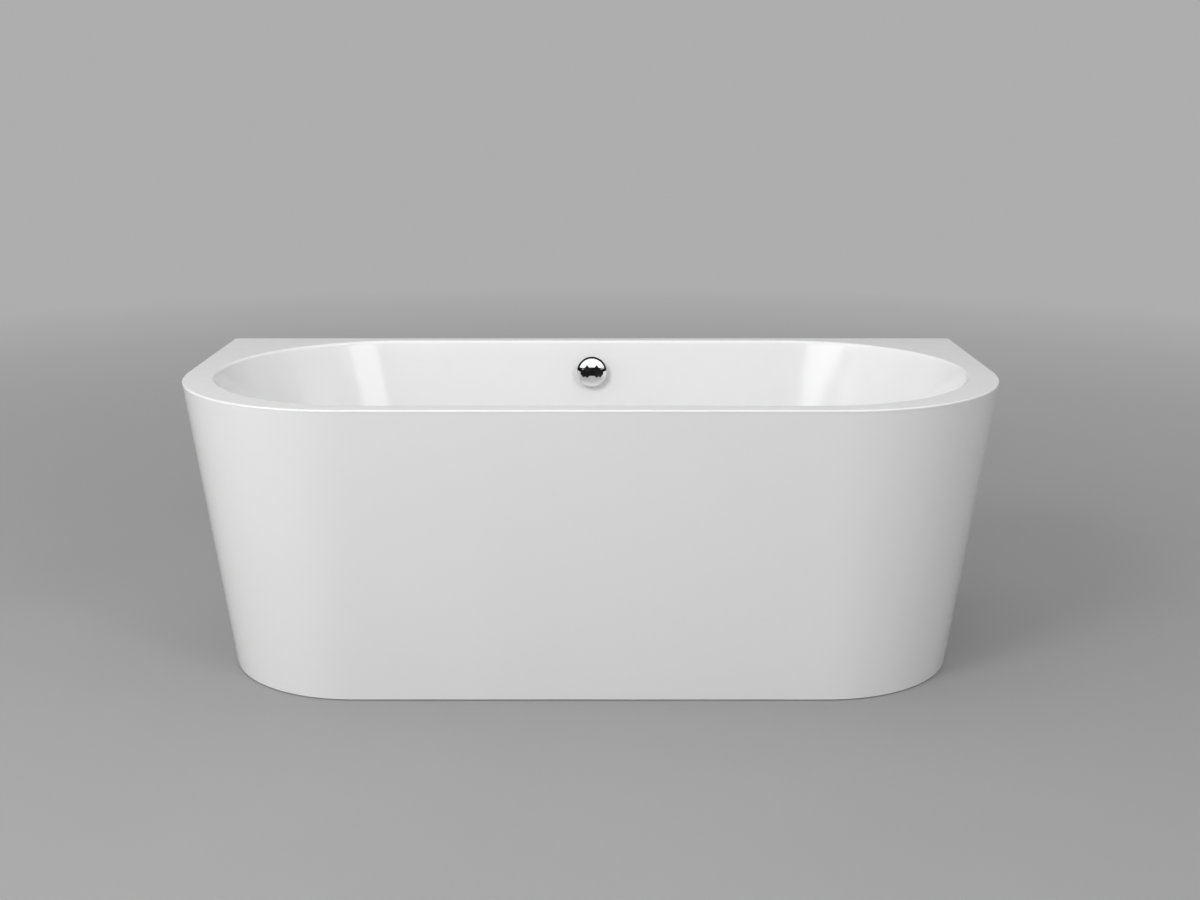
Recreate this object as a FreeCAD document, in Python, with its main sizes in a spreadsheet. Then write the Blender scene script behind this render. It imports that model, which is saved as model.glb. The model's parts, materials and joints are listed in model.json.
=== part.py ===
"""Back-to-wall bathtub with a one-piece skirt, on a steel frame with a turn-knob overflow and waste.

Millimetres. X runs along the tub, +Y points to the wall, +Z up. The origin is on the floor, at the
middle of the tub's outline.
"""
import FreeCAD, Part
import math
import os
import re

import Sketcher

VALUES = {
    # The whole tub: a long D with square corners at the wall and a skirt that leans in to the floor.
    "tub_length": 1650,
    "tub_width": 750,
    "tub_height": 600,
    "corner_radius": 358,
    "skirt_inset": 73,
    "skirt_floor_gap": 2,
    # Flat rim round a basin with full half-round ends.
    "rim_end": 58,
    "rim_back": 32,
    "rim_front": 42,
    "rim_edge_round": 3,
    "basin_edge_round": 8,
    "basin_floor_height": 160,
    "floor_half_length": 590,
    "floor_half_width": 240,
    "basin_round": 90,
    # Sheets: acrylic faces with a glass-fibre backing.
    "acrylic": 4,
    "laminate": 3,
    "bond_gap": 0.3,
    "window_from_end": 120,
    "backing_low": 15,
    "backing_high": 560,
    "backing_back": 15,
    # Plywood under the basin floor and at the two wall corners of the rim.
    "board_from_end": 40,
    "board_from_side": 30,
    "board_thick": 15,
    "board_hole": 62,
    "block_length": 110,
    "block_width": 44,
    "block_thick": 18,
    # Square steel tube frame.
    "tube_size": 30,
    "tube_wall": 2,
    "rail_from_end": 20,
    "rail_from_side": 20,
    "cross_from_end": 50,
    "cross_inner": 180,
    "beam_from_end": 97,
    "beam_from_wall": 45,
    "post_size": 25,
    "post_from_end": 110,
    "plate_length": 76,
    "plate_width": 40,
    "plate_thick": 4,
    "cap_thick": 3,
    "bracket_width": 30,
    "bracket_thick": 4,
    "bracket_tall": 34,
    "bracket_lap": 60,
    # Wood screws.
    "screw_radius": 2.5,
    "screw_hole": 3,
    "screw_pilot": 2.7,
    "screw_head": 6,
    "screw_head_thick": 3,
    "screw_bite": 11,
    "screw_outer": 400,
    "screw_inner": 100,
    "plate_screw_step": 28,
    # Levelling feet.
    "foot_from_front": 35,
    "foot_from_back": 45,
    "stud_radius": 6,
    "stud_run": 0.06,
    "stud_above": 26,
    "pad_radius": 30,
    "pad_top_radius": 13,
    "pad_edge": 5,
    "pad_tall": 14,
    "pad_socket": 8,
    "pad_clearance": 0.2,
    "nut_radius": 11,
    "weld_nut_tall": 10,
    "lock_nut_tall": 7,
    "nut_gap": 0.3,
    # Waste in the basin floor.
    "drain_hole": 26,
    "seal_thick": 1,
    "flange_radius": 35,
    "flange_thick": 2,
    "flange_bore": 21,
    "neck_radius": 24,
    "neck_drop": 35,
    "web_thick": 3,
    "web_hole": 5,
    "web_hole_circle": 12.5,
    "body_seal_thick": 2,
    "waste_radius": 46,
    "waste_lip": 50,
    "waste_wall": 4,
    "waste_bottom": 66,
    "tail_radius": 26,
    "tail_wall": 3,
    "tail_drop": 14,
    "fit_gap": 0.3,
    # Trap and outlet.
    "trap_radius": 40,
    "trap_lip": 46,
    "trap_lip_thick": 2,
    "trap_wall": 3,
    "trap_bottom": 18,
    "trap_nut_radius": 51,
    "trap_nut_tall": 9,
    "outlet_radius": 20,
    "outlet_bore": 17,
    "spigot_radius": 19,
    "spigot_past_nut": 2,
    "outlet_height": 41,
    "spigot_reach": 75,
    "outlet_end": 300,
    "outlet_nut_radius": 25,
    "outlet_nut_length": 20,
    # Plug, stem and lifting lever.
    "plug_radius": 33,
    "plug_thick": 2.5,
    "plug_crown": 3,
    "plug_gap": 0.2,
    "plug_seal_in": 25,
    "plug_seal_out": 30,
    "plug_seal_thick": 2,
    "stem_radius": 4,
    "stem_run": 0.06,
    "lever_height": 100,
    "lever_offset": 28,
    "lever_reach": 38,
    "lever_wide": 12,
    "lever_thick": 4,
    "lever_hub": 5,
    "pin_radius": 2,
    "pin_run": 0.05,
    "pin_half_length": 14,
    "lug_half_gap": 6.5,
    "lug_thick": 5,
    "lug_half_tall": 6,
    "lug_front": 23,
    # Overflow behind the knob.
    "overflow_drop": 69,
    "overflow_hole": 24,
    "face_radius": 28,
    "face_thick": 4,
    "face_slot": 4,
    "face_slot_circle": 16,
    "back_seal_in": 24.3,
    "back_seal_out": 30,
    "back_seal_thick": 2,
    "box_radius": 27,
    "box_wall": 3,
    "box_deep": 26,
    "box_outlet_reach": 42,
    "box_outlet_lift": 0.5,
    "box_screw_radius": 2,
    "box_screw_circle": 21,
    # Knob, spindle and drum that pull the cable.
    "knob_radius": 34,
    "knob_crown": 15,
    "knob_edge": 6,
    "knob_edge_round": 2.5,
    "knob_stand": 7,
    "knob_hollow": 12,
    "knob_wall": 3,
    "spindle_radius": 5,
    "spindle_run": 0.06,
    "spindle_in": 24,
    "drum_radius": 10,
    "drum_thick": 10,
    "drum_back": 13,
    "drum_groove": 2,
    # Ribbed overflow hose.
    "hose_radius": 12,
    "hose_core": 10,
    "hose_bore": 8.5,
    "hose_pitch": 8,
    "hose_height": 85,
    "hose_bend": 80,
    "hose_nut_radius": 14.2,
    "hose_nut_length": 24,
    # Cable beside the hose.
    "cable_radius": 2.5,
    "cable_side": 20,
    "cable_height": 96,
    "cable_bend": 90,
    "ferrule_radius": 4.5,
    "ferrule_length": 14,
    # Cuts run this far past a face.
    "overrun": 5,
}

ROUND_TURN_SHARES = (0, 0.125, 0.25, 0.375, 0.5, 0.625, 0.75, 0.875, 1)
RIB_SHARES = ((0.15, "hose_core"), (0.35, "hose_radius"), (0.65, "hose_radius"), (0.85, "hose_core"))

doc = FreeCAD.newDocument("bathtub")
sheet = doc.addObject("Spreadsheet::Sheet", "sizes")
for row, (value_name, value) in enumerate(VALUES.items(), start=1):
    sheet.set(f"A{row}", value_name)
    sheet.set(f"B{row}", str(value))
    sheet.setAlias(f"B{row}", value_name)
doc.recompute()

nodes = []
EDGE_TOLERANCE = 0.001


# Binding sizes to the sheet

def bound(text):
    """An expression in which each name of a value points at its cell of the sheet."""
    return re.sub(r"[a-z_]+", lambda word: f"sizes.{word[0]}" if word[0] in VALUES else word[0], text)


def number(text):
    """What an expression comes to, as a plain number of millimetres or degrees."""
    result = sheet.evalExpression(bound(text))
    return float(getattr(result, "Value", result))


def bind(item, **properties):
    """Set the named properties of an object from expressions."""
    for name, text in properties.items():
        item.setExpression(name, bound(text))
    return item


def place(item, x="0", y="0", z="0", axis=None, turn="0"):
    """Place an object at x, y, z, turned about an axis."""
    if axis is not None:
        item.Placement = FreeCAD.Placement(FreeCAD.Vector(), FreeCAD.Rotation(axis, number(turn)))
        item.setExpression("Placement.Rotation.Angle", bound(turn))
    for letter, text in (("x", x), ("y", y), ("z", z)):
        item.setExpression(f"Placement.Base.{letter}", bound(text))
    return item


def node(item, label):
    """Name an object as one of the tub's pieces."""
    item.Label = label
    nodes.append(item)
    return item


# Places that several pieces share

X_AXIS = FreeCAD.Vector(1, 0, 0)
Y_AXIS = FreeCAD.Vector(0, 1, 0)

half_length = "(tub_length / 2)"
wall_y = "(tub_width / 2)"
basin_y = "((rim_front - rim_back) / 2)"
basin_half_length = f"({half_length} - rim_end)"
basin_half_width = "((tub_width - rim_front - rim_back) / 2)"
basin_deep = "(tub_height - basin_floor_height)"
end_lean = f"atan(({basin_half_length} - floor_half_length) / {basin_deep})"
side_lean = f"atan(({basin_half_width} - floor_half_width) / {basin_deep})"

rim_under = "(tub_height - acrylic)"
backing_under = "(basin_floor_height - acrylic - bond_gap - laminate)"
board_top = f"({backing_under} - bond_gap)"
rail_top = f"({board_top} - board_thick)"
cross_top = f"({rail_top} - tube_size)"
cross_under = f"({cross_top} - tube_size)"
beam_y = f"({wall_y} - beam_from_wall)"
block_under = f"({rim_under} - bond_gap - block_thick)"
plate_under = f"({block_under} - plate_thick)"
board_half_length = "(floor_half_length - board_from_end)"
board_half_width = "(floor_half_width - board_from_side)"
rail_length = f"(2 * ({board_half_length} - rail_from_end))"
rail_spread = f"({board_half_width} - rail_from_side)"
cross_outer = f"({rail_length} / 2 - cross_from_end)"
cross_front = f"({rail_spread} - {basin_y} + tube_size / 2)"
cross_back = f"({beam_y} + tube_size / 2)"
beam_length = f"(2 * ({half_length} - beam_from_end))"
post_spread = f"({half_length} - post_from_end)"

flange_under = "(basin_floor_height + seal_thick)"
flange_top = f"({flange_under} + flange_thick)"
neck_bottom = f"({flange_under} - neck_drop)"
waste_top = f"({backing_under} - body_seal_thick)"
lever_y = f"({basin_y} + lever_offset)"
stem_bottom = "(lever_height + lever_thick / 2 + fit_gap)"
seal_low = f"({flange_top} + plug_gap)"
plug_low = f"({seal_low} + plug_seal_thick)"

# The overflow sits square to the leaning wall: its own +Z points into the basin, its own +Y up the wall.
overflow_y = f"({basin_y} + {basin_half_width} - overflow_drop * tan({side_lean}))"
overflow_z = "(tub_height - overflow_drop)"
overflow_turn = f"(90 deg - {side_lean})"
backing_face = "(0 - acrylic - bond_gap - laminate)"
box_front = f"({backing_face} - back_seal_thick)"
box_back = f"({box_front} - box_deep)"
box_middle = f"({box_front} - box_deep / 2 - box_outlet_lift)"
ferrule_seat = "(sqrt(box_radius^2 - (cable_side - ferrule_radius)^2) + box_wall / 2)"


def on_overflow(item, x="0", up="0", out="0"):
    """Place an object in the overflow's own frame."""
    y = f"{overflow_y} + ({up}) * sin({side_lean}) - ({out}) * cos({side_lean})"
    z = f"{overflow_z} + ({up}) * cos({side_lean}) + ({out}) * sin({side_lean})"
    return place(item, x, y, z, X_AXIS, overflow_turn)


def on_waste(item, z="0"):
    """Place an object on the upright axis of the waste."""
    return place(item, "0", basin_y, z)


# Plain solids

def block(x, y, z, length, width, height, name="block"):
    """A box centred on x and y, standing on z."""
    solid = doc.addObject("Part::Box", name)
    bind(solid, Length=length, Width=width, Height=height)
    return place(solid, f"{x} - ({length}) / 2", f"{y} - ({width}) / 2", z)


def rod(radius, height, name="rod"):
    """A cylinder along its own +Z."""
    return bind(doc.addObject("Part::Cylinder", name), Radius=radius, Height=height)


def cut(base, *tools):
    """Take tools away from base, one after the other."""
    for tool in tools:
        result = doc.addObject("Part::Cut", "cut")
        result.Base = base
        result.Tool = tool
        base = result
    return base


def fused(*parts):
    """Join solids into one."""
    result = doc.addObject("Part::MultiFuse", "fused")
    result.Shapes = list(parts)
    return result


def group(parts, name="group"):
    """Like solids, kept apart, in one object."""
    result = doc.addObject("Part::Compound", name)
    result.Links = list(parts)
    return result


def square_tube(x, y, z, length, width, height, wall, along, name="tube"):
    """A square tube centred on x and y, standing on z and hollow along one axis."""
    inside = {"length": length, "width": width, "height": height}
    for side in inside:
        inside[side] += " + 2 * overrun" if side == along else f" - 2 * {wall}"
    low = "0 - overrun" if along == "height" else wall
    hollow = block(x, y, f"{z} + {low}", inside["length"], inside["width"], inside["height"])
    return cut(block(x, y, z, length, width, height, name), hollow)


def hex_nut(radius, bore, height, x, y, z):
    """A six-sided nut standing on z."""
    body = bind(doc.addObject("Part::Prism", "nut"), Circumradius=radius, Height=height)
    body.Polygon = 6
    hole = rod(bore, f"{height} + 2 * overrun")
    return cut(place(body, x, y, z), place(hole, x, y, f"{z} - overrun"))


# Sketched solids

def plane(body, role):
    """One of a body's own origin planes."""
    return next(item for item in body.Origin.OriginFeatures if item.Role == role)


def outline(body, name, role, corners, arcs=(), height="0"):
    """A closed sketch through corners; arcs maps a corner's number to the next stretch's arc."""
    sketch = body.newObject("Sketcher::SketchObject", name)
    sketch.AttachmentSupport = (plane(body, role), [""])
    sketch.MapMode = "FlatFace"
    sketch.setExpression("AttachmentOffset.Base.z", bound(height))
    points = [FreeCAD.Vector(number(x), number(y), 0) for x, y in corners]
    arcs = dict(arcs)
    for index, start in enumerate(points):
        end = points[(index + 1) % len(points)]
        if index in arcs:
            centre_x, centre_y, radius = (number(text) for text in arcs[index])
            centre = FreeCAD.Vector(centre_x, centre_y, 0)
            middle = (start + end) / 2 - centre
            sketch.addGeometry(Part.Arc(start, centre + middle.normalize() * radius, end))
        else:
            sketch.addGeometry(Part.LineSegment(start, end))
    for index, corner in enumerate(corners):
        following = (index + 1) % len(corners)
        sketch.addConstraint(Sketcher.Constraint("Coincident", index, 2, following, 1))
        for kind, axis, text in (("DistanceX", -2, corner[0]), ("DistanceY", -1, corner[1])):
            if text == "0":
                sketch.addConstraint(Sketcher.Constraint("PointOnObject", index, 1, axis))
                continue
            made = sketch.addConstraint(Sketcher.Constraint(kind, -1, 1, index, 1, number(text)))
            sketch.setExpression(f"Constraints[{made}]", bound(text))
        if index in arcs:
            radius = arcs[index][2]
            made = sketch.addConstraint(Sketcher.Constraint("Radius", index, number(radius)))
            sketch.setExpression(f"Constraints[{made}]", bound(radius))
    return sketch


def turned(name, profile, arcs=()):
    """A piece turned about its own Z axis from a profile of radius and height."""
    body = doc.addObject("PartDesign::Body", name)
    sketch = outline(body, f"{name}_profile", "XZ_Plane", profile, arcs)
    turn = body.newObject("PartDesign::Revolution", f"{name}_turn")
    turn.Profile = sketch
    turn.ReferenceAxis = (sketch, ["V_Axis"])
    turn.Angle = 360
    return body


def ring(name, inner, outer, low, high):
    """A flat ring round the body's own Z axis."""
    return turned(name, ((inner, low), (outer, low), (outer, high), (inner, high)))


def loft(body, name, sketches, feature="PartDesign::AdditiveLoft"):
    """Skin sketches with straight bands, lowest first."""
    made = body.newObject(feature, name)
    made.Profile = sketches[0]
    made.Sections = sketches[1:]
    made.Ruled = True
    return made


# Outlines of the tub

def tub_outline(body, name, inset, height, back=wall_y):
    """The D outline, drawn in by inset at the front and the ends."""
    side = f"{half_length} - ({inset})"
    front = f"0 - ({wall_y} - ({inset}))"
    arc_x = f"({half_length} - corner_radius)"
    arc_y = f"0 - ({wall_y} - corner_radius)"
    radius = f"corner_radius - ({inset})"
    corners = (
        (f"0 - ({side})", back),
        (f"0 - ({side})", arc_y),
        (f"0 - {arc_x}", front),
        (arc_x, front),
        (side, arc_y),
        (side, back),
    )
    arcs = {1: (f"0 - {arc_x}", arc_y, radius), 3: (arc_x, arc_y, radius)}
    return outline(body, name, "XY_Plane", corners, arcs, height)


def basin_outline(body, name, long_half, wide_half, height):
    """A long oval with half-round ends, in quarter arcs."""
    arc_x = f"({long_half} - ({wide_half}))"
    low = f"{basin_y} - ({wide_half})"
    high = f"{basin_y} + ({wide_half})"
    corners = (
        (f"0 - {arc_x}", low),
        (arc_x, low),
        (long_half, basin_y),
        (arc_x, high),
        (f"0 - {arc_x}", high),
        (f"0 - ({long_half})", basin_y),
    )
    right = (arc_x, basin_y, wide_half)
    left = (f"0 - {arc_x}", basin_y, wide_half)
    arcs = {1: right, 2: right, 4: left, 5: left}
    return outline(body, name, "XY_Plane", corners, arcs, height)


def basin_stations(offset, top):
    """Height, half length and half width of the basin's skin, offset outwards, from the floor up."""
    centre = "(basin_floor_height + basin_round)"
    radius = f"(basin_round + {offset})"
    floor_end = f"(floor_half_length - basin_round * tan((90 deg - {end_lean}) / 2))"
    floor_side = f"(floor_half_width - basin_round * tan((90 deg - {side_lean}) / 2))"

    def wall(half, lean, height):
        return f"({half} - (tub_height - {height}) * tan({lean}) + ({offset}) / cos({lean}))"

    for share in ROUND_TURN_SHARES:
        turn = f"({share} * (90 deg - {end_lean}))"
        height = f"({centre} - {radius} * cos({turn}))"
        yield height, f"({floor_end} + {radius} * sin{turn})", f"({floor_side} + {radius} * sin{turn})"
    shoulder = f"({centre} - {radius} * sin({side_lean}))"
    for height in (shoulder, top):
        yield height, wall(basin_half_length, end_lean, height), wall(basin_half_width, side_lean, height)


def basin_loft(body, name, offset, top, feature):
    """The basin's skin as a solid."""
    sketches = [
        basin_outline(body, f"{name}_{index}", long_half, wide_half, height)
        for index, (height, long_half, wide_half) in enumerate(basin_stations(offset, top))
    ]
    return loft(body, name, sketches, feature)


def top_edges(feature, across, deep):
    """Names of a feature's level edges at the rim's height that stay within half sizes of the middle."""
    height = number("tub_height")
    names = []
    for index, edge in enumerate(feature.Shape.Edges, start=1):
        box = edge.BoundBox
        level = max(abs(box.ZMin - height), abs(box.ZMax - height)) < EDGE_TOLERANCE
        within_x = max(abs(box.XMin), abs(box.XMax)) < across
        within_y = max(abs(box.YMin), abs(box.YMax)) < deep
        if level and within_x and within_y:
            names.append(f"Edge{index}")
    return names


def rounded(body, name, feature, edges, radius):
    """Round the named edges of a feature."""
    fillet = body.newObject("PartDesign::Fillet", name)
    fillet.Base = (feature, edges)
    bind(fillet, Radius=radius)
    return fillet


# The tub: acrylic skin and its backing

def through_overflow(radius):
    """A rod through the leaning back wall at the overflow."""
    tool = rod(radius, "2 * box_deep")
    return on_overflow(tool, out="0 - box_deep")


def through_drain(radius):
    """A rod through the basin floor at the waste."""
    tool = rod(radius, "basin_round")
    return on_waste(tool, f"{backing_under} - board_thick - overrun")


def tub_shell():
    body = doc.addObject("PartDesign::Body", "tub_skin")
    pad = body.newObject("PartDesign::Pad", "rim_pad")
    pad.Profile = tub_outline(body, "rim_outline", "0", rim_under)
    bind(pad, Length="acrylic")
    doc.recompute()
    outer_edges = top_edges(pad, number("tub_length"), number("tub_width"))
    rounded(body, "rim_edge", pad, outer_edges, "rim_edge_round")
    doc.recompute()
    basin_loft(body, "basin_outside", "acrylic", f"({rim_under} + acrylic / 2)", "PartDesign::AdditiveLoft")
    top = "(tub_height + overrun)"
    inside = basin_loft(body, "basin_inside", "0", top, "PartDesign::SubtractiveLoft")
    doc.recompute()
    across = number(f"{basin_half_length} + rim_end / 2")
    basin_edges = top_edges(inside, across, number(f"{wall_y} - rim_back / 2"))
    rounded(body, "basin_edge", inside, basin_edges, "basin_edge_round")
    doc.recompute()
    return node(cut(body, through_drain("drain_hole"), through_overflow("overflow_hole")), "tub_shell")


def tub_laminate():
    body = doc.addObject("PartDesign::Body", "tub_backing")
    top = f"({rim_under} - bond_gap)"
    basin_loft(body, "backing_outside", "acrylic + bond_gap + laminate", top, "PartDesign::AdditiveLoft")
    over = f"({top} + overrun)"
    basin_loft(body, "backing_inside", "acrylic + bond_gap", over, "PartDesign::SubtractiveLoft")
    return node(cut(body, through_drain("drain_hole"), through_overflow("overflow_hole")), "tub_laminate")


def skirt_solid(name, inset, low, high, back):
    """A solid under the rim whose front and ends lean in to the floor."""
    body = doc.addObject("PartDesign::Body", name)
    sketches = []
    for end, height in enumerate((low, high)):
        lean = f"{inset} + skirt_inset * (tub_height - ({height})) / tub_height"
        sketches.append(tub_outline(body, f"{name}_{end}", lean, height, back))
    loft(body, f"{name}_loft", sketches)
    return body


def skirt_panel():
    past = f"({wall_y} + overrun)"
    outside = skirt_solid("skirt_outside", "0", "skirt_floor_gap", rim_under, past)
    back = f"({wall_y} - acrylic)"
    low = "skirt_floor_gap - overrun"
    inside = skirt_solid("skirt_inside", "acrylic", low, f"{rim_under} + overrun", back)
    window = block("0", wall_y, "0", f"2 * ({half_length} - window_from_end)", "tub_width / 4", rim_under)
    beyond_wall = block("0", past, "0", "tub_length + 2 * overrun", "2 * overrun", "tub_height")
    return node(cut(outside, inside, window, beyond_wall), "skirt_panel")


def skirt_laminate():
    outer_inset = "acrylic + bond_gap"
    inner_inset = "acrylic + bond_gap + laminate"
    back = f"({wall_y} - backing_back)"
    past = f"({back} + overrun)"
    outside = skirt_solid("lining_outside", outer_inset, "backing_low", "backing_high", back)
    low = "backing_low - overrun"
    inside = skirt_solid("lining_inside", inner_inset, low, "backing_high + overrun", past)
    return node(cut(outside, inside), "skirt_laminate")


# Plywood

def screw_places():
    """Where wood screws go up through the rails into the base board."""
    for side in (-1, 1):
        for reach in ("screw_inner", "screw_outer"):
            for row in (-1, 1):
                yield f"{side} * {reach}", f"{basin_y} + {row} * {rail_spread}"


def plate_screw_places():
    """Where wood screws go up through the post plates into the corner blocks."""
    for side in (-1, 1):
        for step in (-1, 1):
            yield f"{side} * {post_spread} + {step} * plate_screw_step", beam_y


def base_board():
    size = (f"2 * {board_half_length}", f"2 * {board_half_width}", "board_thick")
    board = block("0", basin_y, rail_top, *size, "board")
    tools = [on_waste(rod("board_hole", "board_thick + 2 * overrun"), f"{rail_top} - overrun")]
    for x, y in screw_places():
        pilot = rod("screw_pilot", "screw_bite + fit_gap + overrun")
        tools.append(place(pilot, x, y, f"{rail_top} - overrun"))
    return node(cut(board, *tools), "base_board")


def rim_blocks():
    blocks = []
    for side in (-1, 1):
        x = f"{side} * {post_spread}"
        solid = block(x, beam_y, block_under, "block_length", "block_width", "block_thick")
        blocks.append(solid)
    pilots = [
        place(rod("screw_pilot", "screw_bite + fit_gap + overrun"), x, y, f"{block_under} - overrun")
        for x, y in plate_screw_places()
    ]
    return node(cut(group(blocks), group(pilots)), "rim_blocks")


# Steel frame

def rail(name, side):
    """A long tube under the base board, drilled for its wood screws."""
    y = f"{basin_y} + {side} * {rail_spread}"
    tube = square_tube("0", y, cross_top, rail_length, "tube_size", "tube_size", "tube_wall", "length")
    holes = [
        place(rod("screw_hole", "tube_size + 2 * overrun"), x, across, f"{cross_top} - overrun")
        for x, across in screw_places() if across == y
    ]
    if side < 0:
        stud_hole = rod("stud_radius + fit_gap", "tube_wall + overrun")
        holes.append(place(stud_hole, "0", y, f"{cross_top} - overrun"))
    return node(cut(tube, *holes), name)


def cross_tubes():
    length = f"({cross_front} + {cross_back})"
    middle = f"({cross_back} - {cross_front}) / 2"
    tubes = []
    for side in (-1, 1):
        for reach in ("cross_inner", cross_outer):
            x = f"{side} * {reach}"
            args = (x, middle, cross_under, "tube_size", length, "tube_size", "tube_wall", "width")
            tubes.append(square_tube(*args))
    holes = [
        place(rod("stud_radius + fit_gap", "tube_wall + overrun"), x, y, f"{cross_under} - overrun")
        for x, y, _ in corner_feet()
    ]
    return node(cut(group(tubes), group(holes)), "cross_tubes")


def rear_beam():
    args = ("0", beam_y, cross_top, beam_length, "tube_size", "tube_size", "tube_wall", "length")
    return node(square_tube(*args), "rear_beam")


def rear_posts():
    height = f"({plate_under} - {rail_top})"
    posts = []
    for side in (-1, 1):
        x = f"{side} * {post_spread}"
        args = (x, beam_y, rail_top, "post_size", "post_size", height, "tube_wall", "height")
        posts.append(square_tube(*args))
    return node(group(posts), "rear_posts")


def post_plates():
    plates = [
        block(f"{side} * {post_spread}", beam_y, plate_under, "plate_length", "plate_width", "plate_thick")
        for side in (-1, 1)
    ]
    holes = [
        place(rod("screw_hole", "plate_thick + 2 * overrun"), x, y, f"{plate_under} - overrun")
        for x, y in plate_screw_places()
    ]
    return node(cut(group(plates), group(holes)), "post_plates")


def tube_end_caps():
    """Plastic caps on the open ends of the rails, the beam and the cross tubes."""
    caps = []
    for side in (-1, 1):
        for y, length in (
            (f"{basin_y} - {rail_spread}", rail_length),
            (f"{basin_y} + {rail_spread}", rail_length),
            (beam_y, beam_length),
        ):
            x = f"{side} * ({length} + cap_thick) / 2"
            caps.append(block(x, y, cross_top, "cap_thick", "tube_size", "tube_size"))
        for reach in ("cross_inner", cross_outer):
            for y in (f"0 - {cross_front} - cap_thick / 2", f"{cross_back} + cap_thick / 2"):
                x = f"{side} * {reach}"
                caps.append(block(x, y, cross_under, "tube_size", "cap_thick", "tube_size"))
    return node(group(caps), "tube_end_caps")


def wood_screws():
    """Screws with a flat head and a plain shank: eight into the base board, four into the blocks."""
    screws = []
    places = [(x, y, cross_top, f"{rail_top} - {cross_top}") for x, y in screw_places()]
    places += [(x, y, plate_under, "plate_thick") for x, y in plate_screw_places()]
    for x, y, seat, grip in places:
        shank = place(rod("screw_radius", f"{grip} + screw_bite"), x, y, seat)
        head = place(rod("screw_head", "screw_head_thick"), x, y, f"{seat} - screw_head_thick")
        screws.append(fused(shank, head))
    return node(group(screws), "wood_screws")


def skirt_brackets():
    """Flat steel arms under the outer cross tubes, with an upturned end at the skirt's backing."""
    brackets = []
    level = f"({cross_under} - bracket_thick)"
    lean = f"skirt_inset * (tub_height - {level}) / tub_height"
    radius = f"(corner_radius - acrylic - bond_gap - laminate - fit_gap - {lean})"
    past_arc = f"({cross_outer} + bracket_width / 2 + corner_radius - {half_length})"
    end = f"(0 - sqrt({radius}^2 - {past_arc}^2) - ({wall_y} - corner_radius))"
    start = f"(0 - {cross_front} + bracket_lap)"
    for side in (-1, 1):
        x = f"{side} * {cross_outer}"
        middle = f"({start} + {end}) / 2"
        arm = block(x, middle, level, "bracket_width", f"{start} - {end}", "bracket_thick")
        back = f"{end} + bracket_thick / 2"
        upright = block(x, back, level, "bracket_width", "bracket_thick", "bracket_tall")
        brackets.append(fused(arm, upright))
    holes = [
        place(rod("stud_radius + fit_gap", "bracket_thick + 2 * overrun"), x, y, f"{level} - overrun")
        for x, y, _ in corner_feet()
    ]
    return node(cut(group(brackets), group(holes)), "skirt_brackets")


# Levelling feet

def corner_feet():
    """Places of the feet under the outer cross tubes and the height of the steel above each nut."""
    for side in (-1, 1):
        x = f"{side} * {cross_outer}"
        yield x, f"0 - ({cross_front} - foot_from_front)", f"({cross_under} - bracket_thick)"
        yield x, f"{cross_back} - foot_from_back", cross_under


def feet():
    """All five feet: the fifth stands under the middle of the front rail."""
    yield from corner_feet()
    yield "0", f"{basin_y} - {rail_spread}", cross_top


def weld_nuts():
    bore = "stud_radius + stud_run"
    nuts = [
        hex_nut("nut_radius", bore, "weld_nut_tall", x, y, f"{under} - weld_nut_tall")
        for x, y, under in feet()
    ]
    return node(group(nuts), "weld_nuts")


def foot(index, x, y, under):
    """A rubber-shod pad, a stud that screws into the welded nut and its lock nut."""
    pad_profile = (
        ("0", "0"),
        ("pad_radius", "0"),
        ("pad_radius", "pad_edge"),
        ("pad_top_radius", "pad_tall"),
        ("stud_radius + pad_clearance", "pad_tall"),
        ("stud_radius + pad_clearance", "pad_tall - pad_socket"),
        ("0", "pad_tall - pad_socket"),
    )
    node(place(turned(f"pad_{index}", pad_profile), x, y), f"foot_pad_{index}")
    bottom = "(pad_tall - pad_socket)"
    stud = rod("stud_radius", f"{under} + stud_above - {bottom}")
    node(place(stud, x, y, bottom), f"foot_stud_{index}")
    bore = "stud_radius + pad_clearance"
    low = f"{under} - weld_nut_tall - nut_gap - lock_nut_tall"
    node(hex_nut("nut_radius", bore, "lock_nut_tall", x, y, low), f"foot_lock_nut_{index}")


# Waste, trap and outlet

def waste_flange():
    profile = (
        ("flange_bore", flange_top),
        ("flange_radius", flange_top),
        ("flange_radius", flange_under),
        ("neck_radius", flange_under),
        ("neck_radius", neck_bottom),
        ("stem_radius + stem_run", neck_bottom),
        ("stem_radius + stem_run", f"{neck_bottom} + web_thick"),
        ("flange_bore", f"{neck_bottom} + web_thick"),
    )
    flange = on_waste(turned("flange", profile))
    holes = []
    for side in (-1, 1):
        for x, y in ((f"{side} * web_hole_circle", basin_y), ("0", f"{basin_y} + {side} * web_hole_circle")):
            holes.append(place(rod("web_hole", "web_thick + 2 * overrun"), x, y, f"{neck_bottom} - overrun"))
    return node(cut(flange, *holes), "waste_flange")


def flange_seal():
    outer = "flange_radius - flange_thick"
    seal = ring("seal", "neck_radius + fit_gap", outer, "basin_floor_height", flange_under)
    return node(on_waste(seal), "flange_seal")


def body_seal():
    seal = ring("lower_seal", "drain_hole", "waste_lip", waste_top, backing_under)
    return node(on_waste(seal), "body_seal")


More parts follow.
